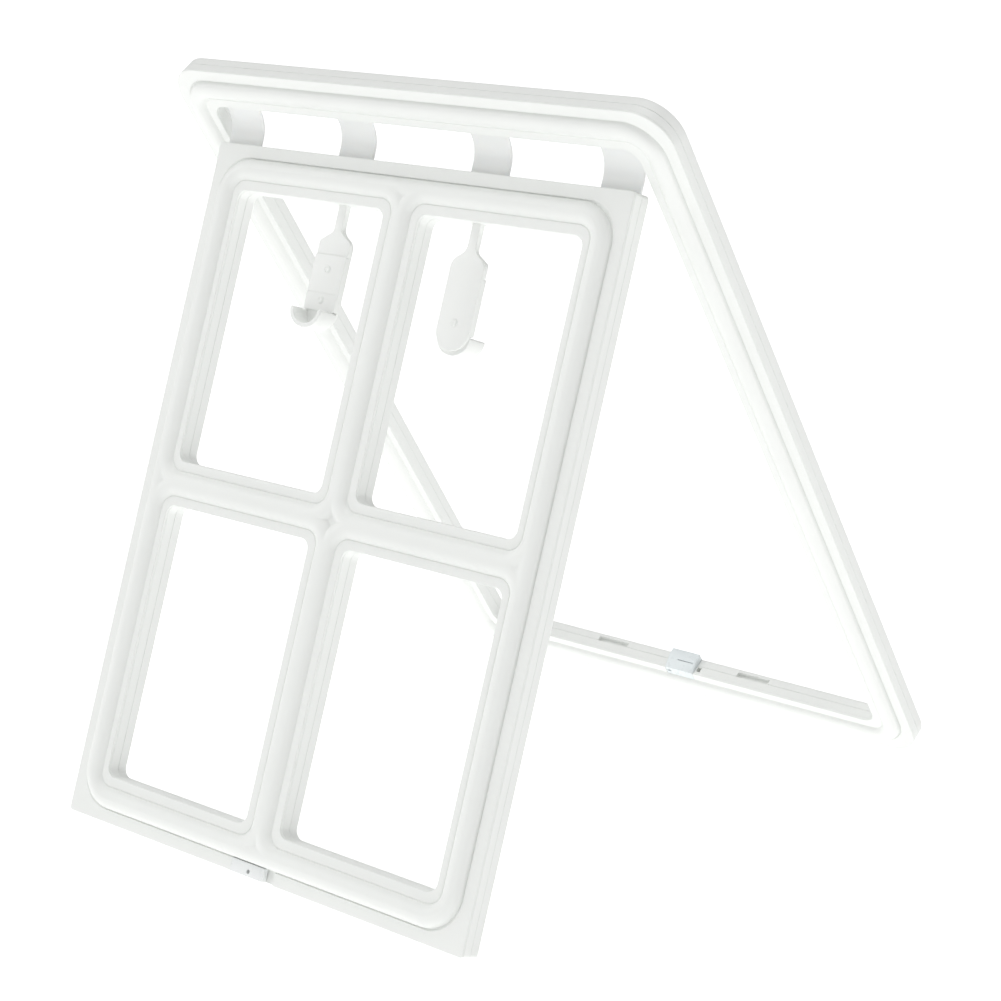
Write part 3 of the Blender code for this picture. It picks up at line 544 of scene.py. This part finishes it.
def frame_ring(inset):
    """The ring at a distance in from the frame's outer edge."""
    corner = np.interp(
        inset,
        (0.0, FRAME_ROLL_INSET - FRAME_ROLL_RADIUS, FRAME_ROLL_INSET,
         FRAME_ROLL_INSET + FRAME_ROLL_RADIUS, FRAME_RAIL),
        (FRAME_CORNER, FRAME_ROLL_CORNER + FRAME_ROLL_RADIUS, FRAME_ROLL_CORNER,
         FRAME_ROLL_CORNER - FRAME_ROLL_RADIUS, FRAME_INNER_CORNER))
    return rectangle_ring(
        -frame_half_width + inset, frame_half_width - inset,
        FRAME_BOTTOM + inset, FRAME_TOP - inset, corner)


def moulding_height(inset, roll_inset, radius, face):
    """Front surface of a rail at a distance in from the panel's outer edge."""
    inset = np.asarray(inset, float)
    distance = inset - roll_inset
    foot = radius - 0.1
    bead = BEAD_HEIGHT * smooth_step(
        inset, roll_inset - foot - BEAD_STEP[0], roll_inset - foot - BEAD_STEP[1])
    base = np.where(distance < 0.0, face + bead, face + LIP_HEIGHT)
    height = soft_max(base, roll_height(distance, radius, face))
    inner = GROOVE_DEPTH * crease(distance, radius, GROOVE_WIDTH)
    outer = OUTER_GROOVE_DEPTH * crease(-distance, radius, OUTER_GROOVE_WIDTH)
    return height - inner * (distance > 0.0) - outer * (distance < 0.0)


def roll_insets(roll_inset, radius, steps=12):
    """Insets that follow the roll closely, from its outer foot to its inner foot."""
    angle = np.linspace(0.0, math.pi, 2 * steps + 1)
    foot = radius - 0.02
    return [roll_inset - foot * math.cos(a) for a in angle]


def frame_front_mesh():
    """The front shell: walls, margin, roll, groove and lip, all the way round."""
    shell = Shell()
    outer_foot = FRAME_ROLL_INSET - FRAME_ROLL_RADIUS
    inner_foot = FRAME_ROLL_INSET + FRAME_ROLL_RADIUS
    insets = [1.2, 3.5, 5.6, outer_foot - 1.4, outer_foot - 1.1, outer_foot - 0.8, outer_foot - 0.4,
              outer_foot - 0.15]
    insets += roll_insets(FRAME_ROLL_INSET, FRAME_ROLL_RADIUS)
    insets += [inner_foot + step for step in (0.12, 0.28, 0.45, 0.65, 0.9, 1.3, 2.5)]
    insets += [FRAME_RAIL - 2.0, FRAME_RAIL - 0.9]
    lip = FRAME_HALF_DEPTH + LIP_HEIGHT
    rings = [shell.add(frame_ring(inward), z)
             for inward, z in reversed(wall_rows(FRAME_HALF_DEPTH, 1.0, 0.2))]
    for inset in insets:
        z = moulding_height(inset, FRAME_ROLL_INSET, FRAME_ROLL_RADIUS, FRAME_HALF_DEPTH)
        rings.append(shell.add(frame_ring(inset), float(z)))
    rings += [shell.add(frame_ring(FRAME_RAIL - inward), z)
              for inward, z in wall_rows(lip, 1.4, 0.2)]
    rings.append(rings[0])
    shell.loft(rings)
    return welded(shell.verts, shell.faces, "frame_front")


def frame_rear_mesh():
    """The rear shell: a plain plate with rounded edges and a seam chamfer."""
    shell = Shell()
    rows = rear_wall_rows(FRAME_HALF_DEPTH, 0.9)
    rings = [shell.add(frame_ring(inward), z) for inward, z in rows]
    rings += [shell.add(frame_ring(inset), -FRAME_HALF_DEPTH)
              for inset in (3.0, 12.0, FRAME_RAIL - 3.0)]
    rings += [shell.add(frame_ring(FRAME_RAIL - inward), z) for inward, z in reversed(rows)]
    rings.append(rings[0])
    shell.loft(rings)
    return welded(shell.verts, shell.faces, "frame_rear")


# ----------------------------------------------------------------- sash shells

class Quadrant:
    """One quarter of the sash about its centre: the light, its roll and the margin outside."""

    def __init__(self):
        self.width = sash_half_width
        self.height = sash_half_height
        self.light = (BAR_HALF_WIDTH, self.width - SASH_STILE,
                      BAR_HALF_WIDTH, self.height - SASH_RAIL)
        self.roll = (LIGHT_ROLL_OFFSET, self.width - LIGHT_ROLL_INSET,
                     LIGHT_ROLL_OFFSET, self.height - LIGHT_ROLL_INSET)
        self.half = CORNER_STEPS // 2

    def light_ring(self, inward=0.0):
        """The light's edge, set back from it by a distance."""
        x0, x1, y0, y1 = self.light
        return rectangle_ring(x0 - inward, x1 + inward, y0 - inward, y1 + inward,
                              LIGHT_CORNER + inward)

    def roll_ring(self, inward):
        """The light's roll path, or a ring inside it."""
        x0, x1, y0, y1 = self.roll
        return rectangle_ring(x0 + inward, x1 - inward, y0 + inward, y1 - inward,
                              LIGHT_ROLL_CORNER - inward)

    def margin_row(self, inset):
        """Points outside the light, from the cross bar's end round to the upright bar's end."""
        corner = np.interp(
            inset,
            (0.0, SASH_ROLL_INSET - SASH_ROLL_RADIUS, SASH_ROLL_INSET),
            (SASH_CORNER, SASH_ROLL_CORNER + SASH_ROLL_RADIUS, SASH_ROLL_CORNER))
        x = self.width - inset
        y = self.height - inset
        start = LIGHT_ROLL_OFFSET + LIGHT_ROLL_CORNER
        round_corner = arc(x - corner, y - corner, corner, 0.0)
        return np.concatenate([
            line((x, 0.0), (x, start), self.half)[:-1],
            line((x, start), round_corner[0], SIDE_STEPS)[:-1],
            round_corner[:-1],
            line(round_corner[-1], (start, y), SIDE_STEPS)[:-1],
            line((start, y), (0.0, y), self.half),
        ])

    def border_ring(self):
        """The ring where quadrants and margin meet, matching the light's rings point for point."""
        row = self.margin_row(SASH_ROLL_INSET)
        start = LIGHT_ROLL_OFFSET + LIGHT_ROLL_CORNER
        x = self.width - SASH_ROLL_INSET
        y = self.height - SASH_ROLL_INSET
        inner = np.concatenate([
            line((0.0, y), (0.0, y - start), self.half)[1:],
            line((0.0, y - start), (0.0, start), SIDE_STEPS)[1:],
            line((0.0, start), (0.0, 0.0), self.half)[1:],
            line((0.0, 0.0), (start, 0.0), self.half)[1:],
            line((start, 0.0), (x - start, 0.0), SIDE_STEPS)[1:],
            line((x - start, 0.0), (x, 0.0), self.half)[1:-1],
        ])
        ring = np.concatenate([row, inner])
        return np.roll(ring, self.half, axis=0)

    def front_height(self, points):
        """Height of the front face over the light's surround."""
        x, y = points[:, 0], points[:, 1]
        outer = path_distance(
            x, y, -self.width + SASH_ROLL_INSET, self.width - SASH_ROLL_INSET,
            -self.height + SASH_ROLL_INSET, self.height - SASH_ROLL_INSET, SASH_ROLL_CORNER)
        distances = [outer] + [
            path_distance(x * sx, y * sy, *self.roll, LIGHT_ROLL_CORNER)
            for sx in (1, -1) for sy in (1, -1)]
        height = np.full(len(x), SASH_HALF_DEPTH + LIP_HEIGHT)
        for distance in distances:
            height = soft_max(height, roll_height(distance, SASH_ROLL_RADIUS, SASH_HALF_DEPTH))
        nearest = np.min(np.abs(distances), axis=0)
        inside = distances[1] < 0.0
        return height - GROOVE_DEPTH * crease(nearest, SASH_ROLL_RADIUS, GROOVE_WIDTH) * inside


def four_quadrants(shell, name):
    """Mirror a quarter about the sash's centre lines into a whole."""
    verts = []
    faces = []
    for sx in (1.0, -1.0):
        for sy in (1.0, -1.0):
            start = len(verts)
            verts.extend((x * sx, y * sy + sash_mid, z) for x, y, z in shell.verts)
            faces.extend(tuple(start + i for i in face) for face in shell.faces)
    return welded(verts, faces, name)


def sash_front_mesh():
    """The front shell with its four lights, rolls, lips and walls."""
    quadrant = Quadrant()
    shell = Shell()
    lip = SASH_HALF_DEPTH + LIP_HEIGHT
    rings = [shell.add(quadrant.light_ring(inward), z)
             for inward, z in reversed(wall_rows(lip, 1.4, 0.3))]
    foot = SASH_ROLL_RADIUS
    edge_ring = quadrant.light_ring(EDGE_RADIUS)
    foot_ring = quadrant.roll_ring(foot + 0.9)
    for t in (0.25, 0.6, 1.0):
        points = edge_ring * (1.0 - t) + foot_ring * t
        rings.append(shell.add(points, quadrant.front_height(points)))
    inward_steps = [foot + extra for extra in (0.65, 0.45, 0.28, 0.12)]
    inward_steps += [foot * math.cos(a) for a in np.linspace(0.08, 0.5 * math.pi, 13)]
    for inward in inward_steps:
        points = quadrant.roll_ring(inward)
        rings.append(shell.add(points, quadrant.front_height(points)))
    crest = quadrant.roll_ring(0.0)
    border = quadrant.border_ring()
    for t in np.linspace(0.0, 1.0, 15)[1:]:
        points = crest * (1.0 - t) + border * t
        rings.append(shell.add(points, quadrant.front_height(points)))
    shell.loft(rings)
    insets = [SASH_ROLL_INSET - foot * math.cos(a) for a in np.linspace(0.5 * math.pi, 0.08, 13)]
    outer_foot = SASH_ROLL_INSET - foot
    insets += [outer_foot - step for step in (0.05, 0.15, 0.4, 0.8, 1.1, 1.4)] + [4.6, 2.6, 1.2]
    rows = []
    for inset in insets:
        z = moulding_height(inset, SASH_ROLL_INSET, SASH_ROLL_RADIUS, SASH_HALF_DEPTH)
        points = quadrant.margin_row(inset)
        heights = float(z) if rows else quadrant.front_height(points)
        rows.append(shell.add(points, heights))
    rows += [shell.add(quadrant.margin_row(inward), z)
             for inward, z in wall_rows(SASH_HALF_DEPTH, 0.75, 0.35)]
    rows.append(shell.add(quadrant.margin_row(SASH_ROLL_INSET), SEAM))
    shell.loft(rows, closed=False)
    flat = [shell.add(quadrant.light_ring(SEAM_CHAMFER), SEAM), shell.add(border, SEAM)]
    shell.loft(flat)
    return four_quadrants(shell, "sash_front")


def sash_rear_mesh():
    """The rear shell with its four lights and rounded rear edges."""
    quadrant = Quadrant()
    shell = Shell()
    rows = rear_wall_rows(SASH_HALF_DEPTH, 1.1)
    border = quadrant.border_ring()
    rings = [shell.add(border, -SEAM)]
    rings += [shell.add(quadrant.light_ring(inward), z) for inward, z in rows]
    rings.append(shell.add(border, -SASH_HALF_DEPTH))
    shell.loft(rings)
    bands = [shell.add(quadrant.margin_row(SASH_ROLL_INSET), -SEAM)]
    bands += [shell.add(quadrant.margin_row(inward), z) for inward, z in rows]
    bands.append(shell.add(quadrant.margin_row(SASH_ROLL_INSET), -SASH_HALF_DEPTH))
    shell.loft(bands, closed=False)
    return four_quadrants(shell, "sash_rear")


# ---------------------------------------------------------- cuts in the shells

frame_screws = [(side * FRAME_SCREW_X, y) for side in (-1, 1) for y in FRAME_SCREW_Y]
sash_screws = [(side * SASH_SCREW_X, y) for side in (-1, 1) for y in SASH_SCREW_Y]
sash_screws.append((0.0, sash_mid))


def screw_wells(points, face):
    """Round counterbores in a rear face."""
    depth = SCREW_WELL_DEPTH
    return [cylinder((x, y, -face + 0.5 * depth - 0.5), SCREW_HEAD_RADIUS + 0.45, depth + 1.0)
            for x, y in points]


latch_x0 = LATCH_CENTRE - LATCH_HALF_WIDTH
latch_x1 = LATCH_CENTRE + LATCH_HALF_WIDTH
sill_cuts = [
    box(latch_x0 - CLEARANCE, latch_x1 + CLEARANCE, sill - LATCH_DEPTH - CLEARANCE, sill + 1.0,
        -FRAME_HALF_DEPTH - 1.0, FRAME_HALF_DEPTH + 3.0),
    box(latch_x1 + CATCH_NOTCH_X[0], latch_x1 + CATCH_NOTCH_X[1], sill - CATCH_NOTCH_DEPTH,
        sill + 1.0, *CATCH_NOTCH_Z),
]
for slot_x in (-SLOT_CENTRE, SLOT_CENTRE):
    sill_cuts.append(box(slot_x - SLOT_HALF_LENGTH, slot_x + SLOT_HALF_LENGTH,
                         sill - SLOT_DEPTH, sill + 1.0, *SLOT_Z, radius=0.5))

frame_front = cut(frame_front_mesh(), solids(*sill_cuts))
frame_rear = cut(frame_rear_mesh(),
                 solids(*sill_cuts, *screw_wells(frame_screws, FRAME_HALF_DEPTH)))
tab_pocket = box(TAB_LEFT - CLEARANCE, NOTCH_RIGHT, SASH_BOTTOM - 1.0,
                 SASH_BOTTOM + TAB_HEIGHT + CLEARANCE, TAB_FLOOR, SASH_HALF_DEPTH + 2.0)
sash_front = cut(sash_front_mesh(), solids(tab_pocket))
sash_rear = cut(sash_rear_mesh(), solids(*screw_wells(sash_screws, SASH_HALF_DEPTH)))

add_piece("moulded_frame_front", frame_front, to_frame, "frame", WHITE_ABS,
          ["frame_front_shell"])
add_piece("moulded_frame_rear", frame_rear, to_frame, "frame", WHITE_ABS_REAR,
          ["frame_rear_shell"])
add_piece("moulded_sash_front", sash_front, to_sash, "sash", WHITE_ABS,
          ["sash_front_shell"])
add_piece("moulded_sash_rear", sash_rear, to_sash, "sash", WHITE_ABS_REAR,
          ["sash_rear_shell"])


# --------------------------------------------------------------------- screws

def pan_head_mesh():
    """A pan-head screw seen from behind, head down at zero, with a cross recess."""
    dome = [(SCREW_HEAD_RADIUS * math.sin(a), -0.75 * math.cos(a))
            for a in np.linspace(1.35, 0.12, 7)]
    profile = [(SCREW_SHANK_RADIUS, 8.0), (SCREW_SHANK_RADIUS, 1.8),
               (SCREW_HEAD_RADIUS, 1.8), (SCREW_HEAD_RADIUS, 0.3)]
    profile += [(radius, height + 0.5) for radius, height in dome]
    long, narrow = CROSS_HALF_LENGTH, CROSS_HALF_WIDTH
    head = turned_mesh(profile)
    head = cut(head, solids(box(-long, long, -narrow, narrow, -1.0, 0.55)))
    return cut(head, solids(box(-narrow, narrow, -long, long, -1.0, 0.56)))


pan_head = pan_head_mesh()
for panel, points, face, matrix in (
        ("frame", frame_screws, FRAME_HALF_DEPTH, to_frame),
        ("sash", sash_screws, SASH_HALF_DEPTH, to_sash)):
    for number, (x, y) in enumerate(points, start=1):
        turn = Matrix.Rotation(0.7 * number, 4, "Z")
        place = matrix @ Matrix.Translation((x, y, -face + SCREW_RECESS)) @ turn
        add_piece(f"{panel}_pan_head_{number}", pan_head.copy(), place, panel, SCREW_STEEL,
                  [f"{panel}_screw_{number}"], 40.0)


# --------------------------------------------------------------- hinge straps

def strap_mesh():
    """One strap about its own centre line, in the frame's axes."""
    turn = FRAME_LEAN + SASH_LEAN
    tangent = STRAP_BEND_RADIUS * math.tan(0.5 * turn)
    start = FRAME_TOP - FRAME_RAIL + STRAP_GRIP
    stations = [(0.0, y, 0.0) for y in np.linspace(start, tangent, 13)[:-1]]
    for angle in np.linspace(0.0, turn, 29):
        stations.append((STRAP_BEND_RADIUS * (1.0 - math.cos(angle)),
                         tangent - STRAP_BEND_RADIUS * math.sin(angle), angle))
    reach = -SASH_TOP + STRAP_GRIP
    for along in np.linspace(tangent, reach, 13)[1:]:
        stations.append((along * math.sin(turn), -along * math.cos(turn), turn))
    half = STRAP_HALF_WIDTH
    thick = STRAP_HALF_THICKNESS
    round_end = [(half - thick + thick * math.cos(a), thick * math.sin(a))
                 for a in np.linspace(-0.5 * math.pi, 0.5 * math.pi, 9)]
    upper = [(x, thick) for x in np.linspace(half - thick, -half + thick, 9)[1:-1]]
    half_section = round_end + upper
    section = half_section + [(-x, -z) for x, z in half_section]
    shell = Shell()
    rings = []
    for z, y, angle in stations:
        begin = len(shell.verts)
        for across, off in section:
            shell.verts.append((across, y + off * math.sin(angle), z + off * math.cos(angle)))
        rings.append(range(begin, begin + len(section)))
    shell.loft(rings)
    shell.faces.append(tuple(rings[0]))
    shell.faces.append(tuple(reversed(rings[-1])))
    return welded(shell.verts, shell.faces, "strap")


strap_base = strap_mesh()
for number in range(1, 5):
    node = f"hinge_strap_{number}"
    low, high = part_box(node)
    centre = 0.5 * (low.x + high.x) / MM
    strap = add_piece(f"soft_strap_{number}", strap_base.copy(),
                      to_frame @ Matrix.Translation((centre, 0.0, 0.0)), None, STRAP_TPU,
                      [node], 50.0)
    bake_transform(strap)


# --------------------------------------------------------- sill latch and tab

latch_front = FRAME_HALF_DEPTH + LIP_HEIGHT
latch_block = side_plate([
    (-FRAME_HALF_DEPTH, sill - LATCH_DEPTH), (latch_front, sill - LATCH_DEPTH),
    (latch_front, sill + LATCH_FRONT_PROUD), (LATCH_RIDGE_Z, sill + LATCH_PROUD),
    (-FRAME_HALF_DEPTH, sill + LATCH_PROUD)], latch_x0, latch_x1, 0.35)
latch_slits = solids(
    box(LATCH_CENTRE - 3.5, LATCH_CENTRE + 9.0, sill + 0.6, sill + 8.0, 1.0, 1.5),
    box(latch_x0 + 1.2, latch_x0 + 4.0, sill - 3.2, sill - 1.7,
        latch_front - 1.2, latch_front + 1.0),
)
latch_block = cut(latch_block, latch_slits)
add_piece("latch_block_moulding", latch_block, to_frame, "frame", LATCH_ABS,
          ["sill_latch_block"])

tab = solids(box(TAB_LEFT, TAB_RIGHT, SASH_BOTTOM, SASH_BOTTOM + TAB_HEIGHT,
                 TAB_FLOOR + CLEARANCE, SASH_HALF_DEPTH + TAB_PROUD, radius=0.4, segments=3))
tab = cut(tab, solids(cylinder((TAB_HOLE_X, SASH_BOTTOM + TAB_HOLE_HEIGHT, SASH_HALF_DEPTH),
                               TAB_HOLE_RADIUS, 6.0)))
add_piece("latch_tab_moulding", tab, to_sash, "sash", TAB_ABS, ["sash_latch_tab"])


# ---------------------------------------------------------------------- hooks

def filleted(points, radius, steps=5):
    """Round each corner of an outline by up to the given radius."""
    result = []
    count = len(points)
    for i in range(count):
        before = Vector(points[i - 1])
        here = Vector(points[i])
        after = Vector(points[(i + 1) % count])
        to_before = before - here
        to_after = after - here
        reach = min(radius, 0.45 * to_before.length, 0.45 * to_after.length)
        a = here + to_before.normalized() * reach
        b = here + to_after.normalized() * reach
        for step in range(steps + 1):
            t = step / steps
            point = a * (1 - t) ** 2 + here * 2 * t * (1 - t) + b * t ** 2
            result.append((point.x, point.y))
    return result


def hook_outline(bottom, round_bottom):
    """A stem that widens through two shoulders into a plate."""
    half = HOOK_HALF_WIDTH
    right = [(STEM_HALF_WIDTH, PLATE_TOP), (STEM_HALF_WIDTH, STEM_END), (half, SHOULDER_END)]
    left = [(-x, y) for x, y in right]
    if not round_bottom:
        return filleted(left + [(-half, bottom), (half, bottom)] + right[::-1], 1.6)
    bottom_points = [(half * math.cos(a), bottom + half + half * math.sin(a))
                     for a in np.linspace(math.pi, 2.0 * math.pi, 25)]
    # The fillets at the stem's top and at the half round are dropped: both stay as they are.
    head = [left[0]] + filleted(left + [bottom_points[0]], 4.0)[6:-6]
    return head + bottom_points + [(-x, y) for x, y in reversed(head)]


def cup_outline():
    """The cup's wall seen from the front: a half ring with rounded ends."""
    ox, oy = CUP_OUTER
    ix, iy = CUP_INNER
    sweep = np.linspace(math.pi, 2.0 * math.pi, 41)
    outer = [(ox * math.cos(a), CUP_TOP - 1.0 + (oy - 1.0) * math.sin(a)) for a in sweep]
    inner = [(ix * math.cos(a), CUP_TOP - 1.0 + (iy - 1.0) * math.sin(a)) for a in reversed(sweep)]
    half = 0.5 * (ox - ix)
    tip = np.linspace(0.0, math.pi, 9)[1:-1]
    right = [(0.5 * (ox + ix) + half * math.cos(a), CUP_TOP - 1.0 + math.sin(a)) for a in tip]
    left = [(-0.5 * (ox + ix) + half * math.cos(a), CUP_TOP - 1.0 + math.sin(a)) for a in tip]
    return outer + right + inner + left


def cup_mesh():
    """The half-round cup: its wall, its floor against the plates and its tab between them."""
    wall = flat_plate([cup_outline()], *CUP_Z, 0.45)
    ix, iy = CUP_INNER
    floor_line = [((ix + 1.0) * math.cos(a), CUP_TOP + 0.6 + (iy + 1.2) * math.sin(a))
                  for a in np.linspace(math.pi, 2.0 * math.pi, 41)]
    wall = cut(wall, flat_plate([floor_line], CUP_Z[0] + 0.15, CUP_FLOOR_Z, 0.1), "UNION")
    half, low, high = TAB_CORE
    return solids(ready(wall),
                  box(-half, half, low, high, -CORE_HALF_THICKNESS, CORE_HALF_THICKNESS))


def lower_cover_mesh():
    """The lower cover, with a fine step line across its face."""
    cover = flat_plate([filleted([
        (-HOOK_HALF_WIDTH, COVER_SPLIT), (-HOOK_HALF_WIDTH, COVER_END),
        (HOOK_HALF_WIDTH, COVER_END), (HOOK_HALF_WIDTH, COVER_SPLIT)], 1.0)], *LOWER_COVER_Z, 0.3)
    top = LOWER_COVER_Z[1]
    step_line = box(-13.0, 13.0, COVER_STEP - 0.3, COVER_STEP + 0.3, top - 0.25, top + 1.0)
    return cut(cover, solids(step_line))


def fastener_mesh(face, height):
    """A shallow domed plug with a ring line and a small dimple, standing on a face."""
    profile = [(0.35, face + height - 0.15), (0.8, face + height), (1.35, face + height),
               (1.55, face + height - 0.28), (1.75, face + height - 0.05), (2.1, face + height - 0.2),
               (2.2, face + 0.02), (1.1, face - 0.02), (1.1, face - 3.0)]
    return turned_mesh(profile, 36)


def build_hook(side, matrix):
    """All the pieces of one hook, about its swivel axis."""
    body = f"hook_{side}"
    pieces = {
        "back_plate": flat_plate([hook_outline(BACK_END, True)], *BACK_Z, 0.35),
        "upper_cover": flat_plate([hook_outline(COVER_SPLIT - 0.5, False)], *UPPER_COVER_Z, 0.3),
        "lower_cover": lower_cover_mesh(),
        "cup": cup_mesh(),
        "screw": fastener_mesh(LOWER_COVER_Z[1], FASTENER_HEIGHT),
        "rivet": fastener_mesh(LOWER_COVER_Z[1], FASTENER_HEIGHT),
    }
    for name, y in (("screw", HOOK_SCREW_Y), ("rivet", HOOK_RIVET_Y)):
        pieces[name].transform(Matrix.Translation((0.0, y, 0.0)))
    rear_head = fastener_mesh(0.0, FASTENER_HEIGHT)
    rear_head.transform(Matrix.Translation((0.0, HOOK_RIVET_Y, BACK_Z[0]))
                        @ Matrix.Rotation(math.pi, 4, "X"))
    pieces["rivet"] = solids(ready(pieces["rivet"]), ready(rear_head))
    for name, mesh in pieces.items():
        add_piece(f"{body}_{name}_moulding", mesh, matrix, body, HOOK_ABS,
                  [f"{body}_{name}"], 32.0)


for side in ("left", "right"):
    joint = joints[f"hook_{side}_swivel"]
    swivel = Matrix.Translation(Vector(joint["pos_m"]))
    half_turn = Matrix.Rotation(math.pi if side == "right" else 0.0, 4, "Y")
    build_hook(side, swivel @ sash_upright @ half_turn @ scale_mm)


# ------------------------------------------------------- CAD pieces that stay

def finish_node(node, mat):
    """Give a CAD node its own look; its mesh stays as it is."""
    obj = frame["nodes"][node]
    obj.data.materials.clear()
    obj.data.materials.append(mat)


for node in ("frame_strap_retainer", "sash_strap_retainer"):
    finish_node(node, HIDDEN_ABS)
for node in ("sill_latch_magnet", "sash_latch_keeper"):
    finish_node(node, MAGNET_NICKEL)
for node in ("hook_left_swivel", "hook_right_swivel"):
    finish_node(node, HOOK_ABS)


# -------------------------------------------------------------- floor and light

def add_floor():
    """A large plain pale floor that adds a little light of its own."""
    bpy.ops.mesh.primitive_plane_add(size=40.0, location=(0.0, 0.0, 0.0))
    floor = bpy.context.object
    floor.name = "floor"
    mat = bpy.data.materials.new("floor_paper")
    mat.use_nodes = True
    shader = mat.node_tree.nodes["Principled BSDF"]
    shader.inputs["Base Color"].default_value = (0.95, 0.95, 0.95, 1.0)
    shader.inputs["Roughness"].default_value = 0.9
    shader.inputs["Specular IOR Level"].default_value = 0.0
    shader.inputs["Emission Color"].default_value = (1.0, 1.0, 1.0, 1.0)
    shader.inputs["Emission Strength"].default_value = 0.55
    floor.data.materials.append(mat)


def add_soft_light(name, towards, strength, spread):
    """A wide soft light shining from a direction."""
    data = bpy.data.lights.new(name, "SUN")
    data.energy = strength
    data.angle = math.radians(spread)
    light = bpy.data.objects.new(name, data)
    bpy.context.scene.collection.objects.link(light)
    light.rotation_euler = Vector(towards).to_track_quat("Z", "Y").to_euler()


def add_world(strength):
    """Plain white surroundings."""
    world = bpy.data.worlds.new("studio")
    world.use_nodes = True
    background = world.node_tree.nodes["Background"]
    background.inputs["Color"].default_value = (1.0, 1.0, 1.0, 1.0)
    background.inputs["Strength"].default_value = strength
    bpy.context.scene.world = world


def add_camera():
    """The camera: a long lens, in front to the right and above."""
    data = bpy.data.cameras.new("camera")
    data.sensor_width = 36.0
    data.lens = CAMERA_LENS
    data.clip_end = 50.0
    camera = bpy.data.objects.new("camera", data)
    bpy.context.scene.collection.objects.link(camera)
    camera.location = Vector(CAMERA_PLACE) + Vector((0.0, hinge_point.y, 0.0))
    level = math.cos(CAMERA_ELEVATION)
    forward = Vector((-math.sin(CAMERA_AZIMUTH) * level, math.cos(CAMERA_AZIMUTH) * level,
                      -math.sin(CAMERA_ELEVATION)))
    turn = forward.to_track_quat("-Z", "Y").to_matrix().to_4x4()
    camera.matrix_world = (Matrix.Translation(camera.location) @ turn
                           @ Matrix.Rotation(CAMERA_ROLL, 4, "Z"))
    bpy.context.scene.camera = camera


bpy.context.scene.view_settings.view_transform = "Standard"
add_floor()
add_world(0.30)
add_soft_light("key", (-0.80, -0.45, 0.62), 0.75, 45.0)
add_soft_light("front", (0.30, -1.0, 0.10), 0.26, 60.0)
add_soft_light("right", (0.85, 0.10, 0.30), 0.35, 60.0)
add_soft_light("top", (0.0, -0.10, 1.0), 0.95, 50.0)
add_camera()
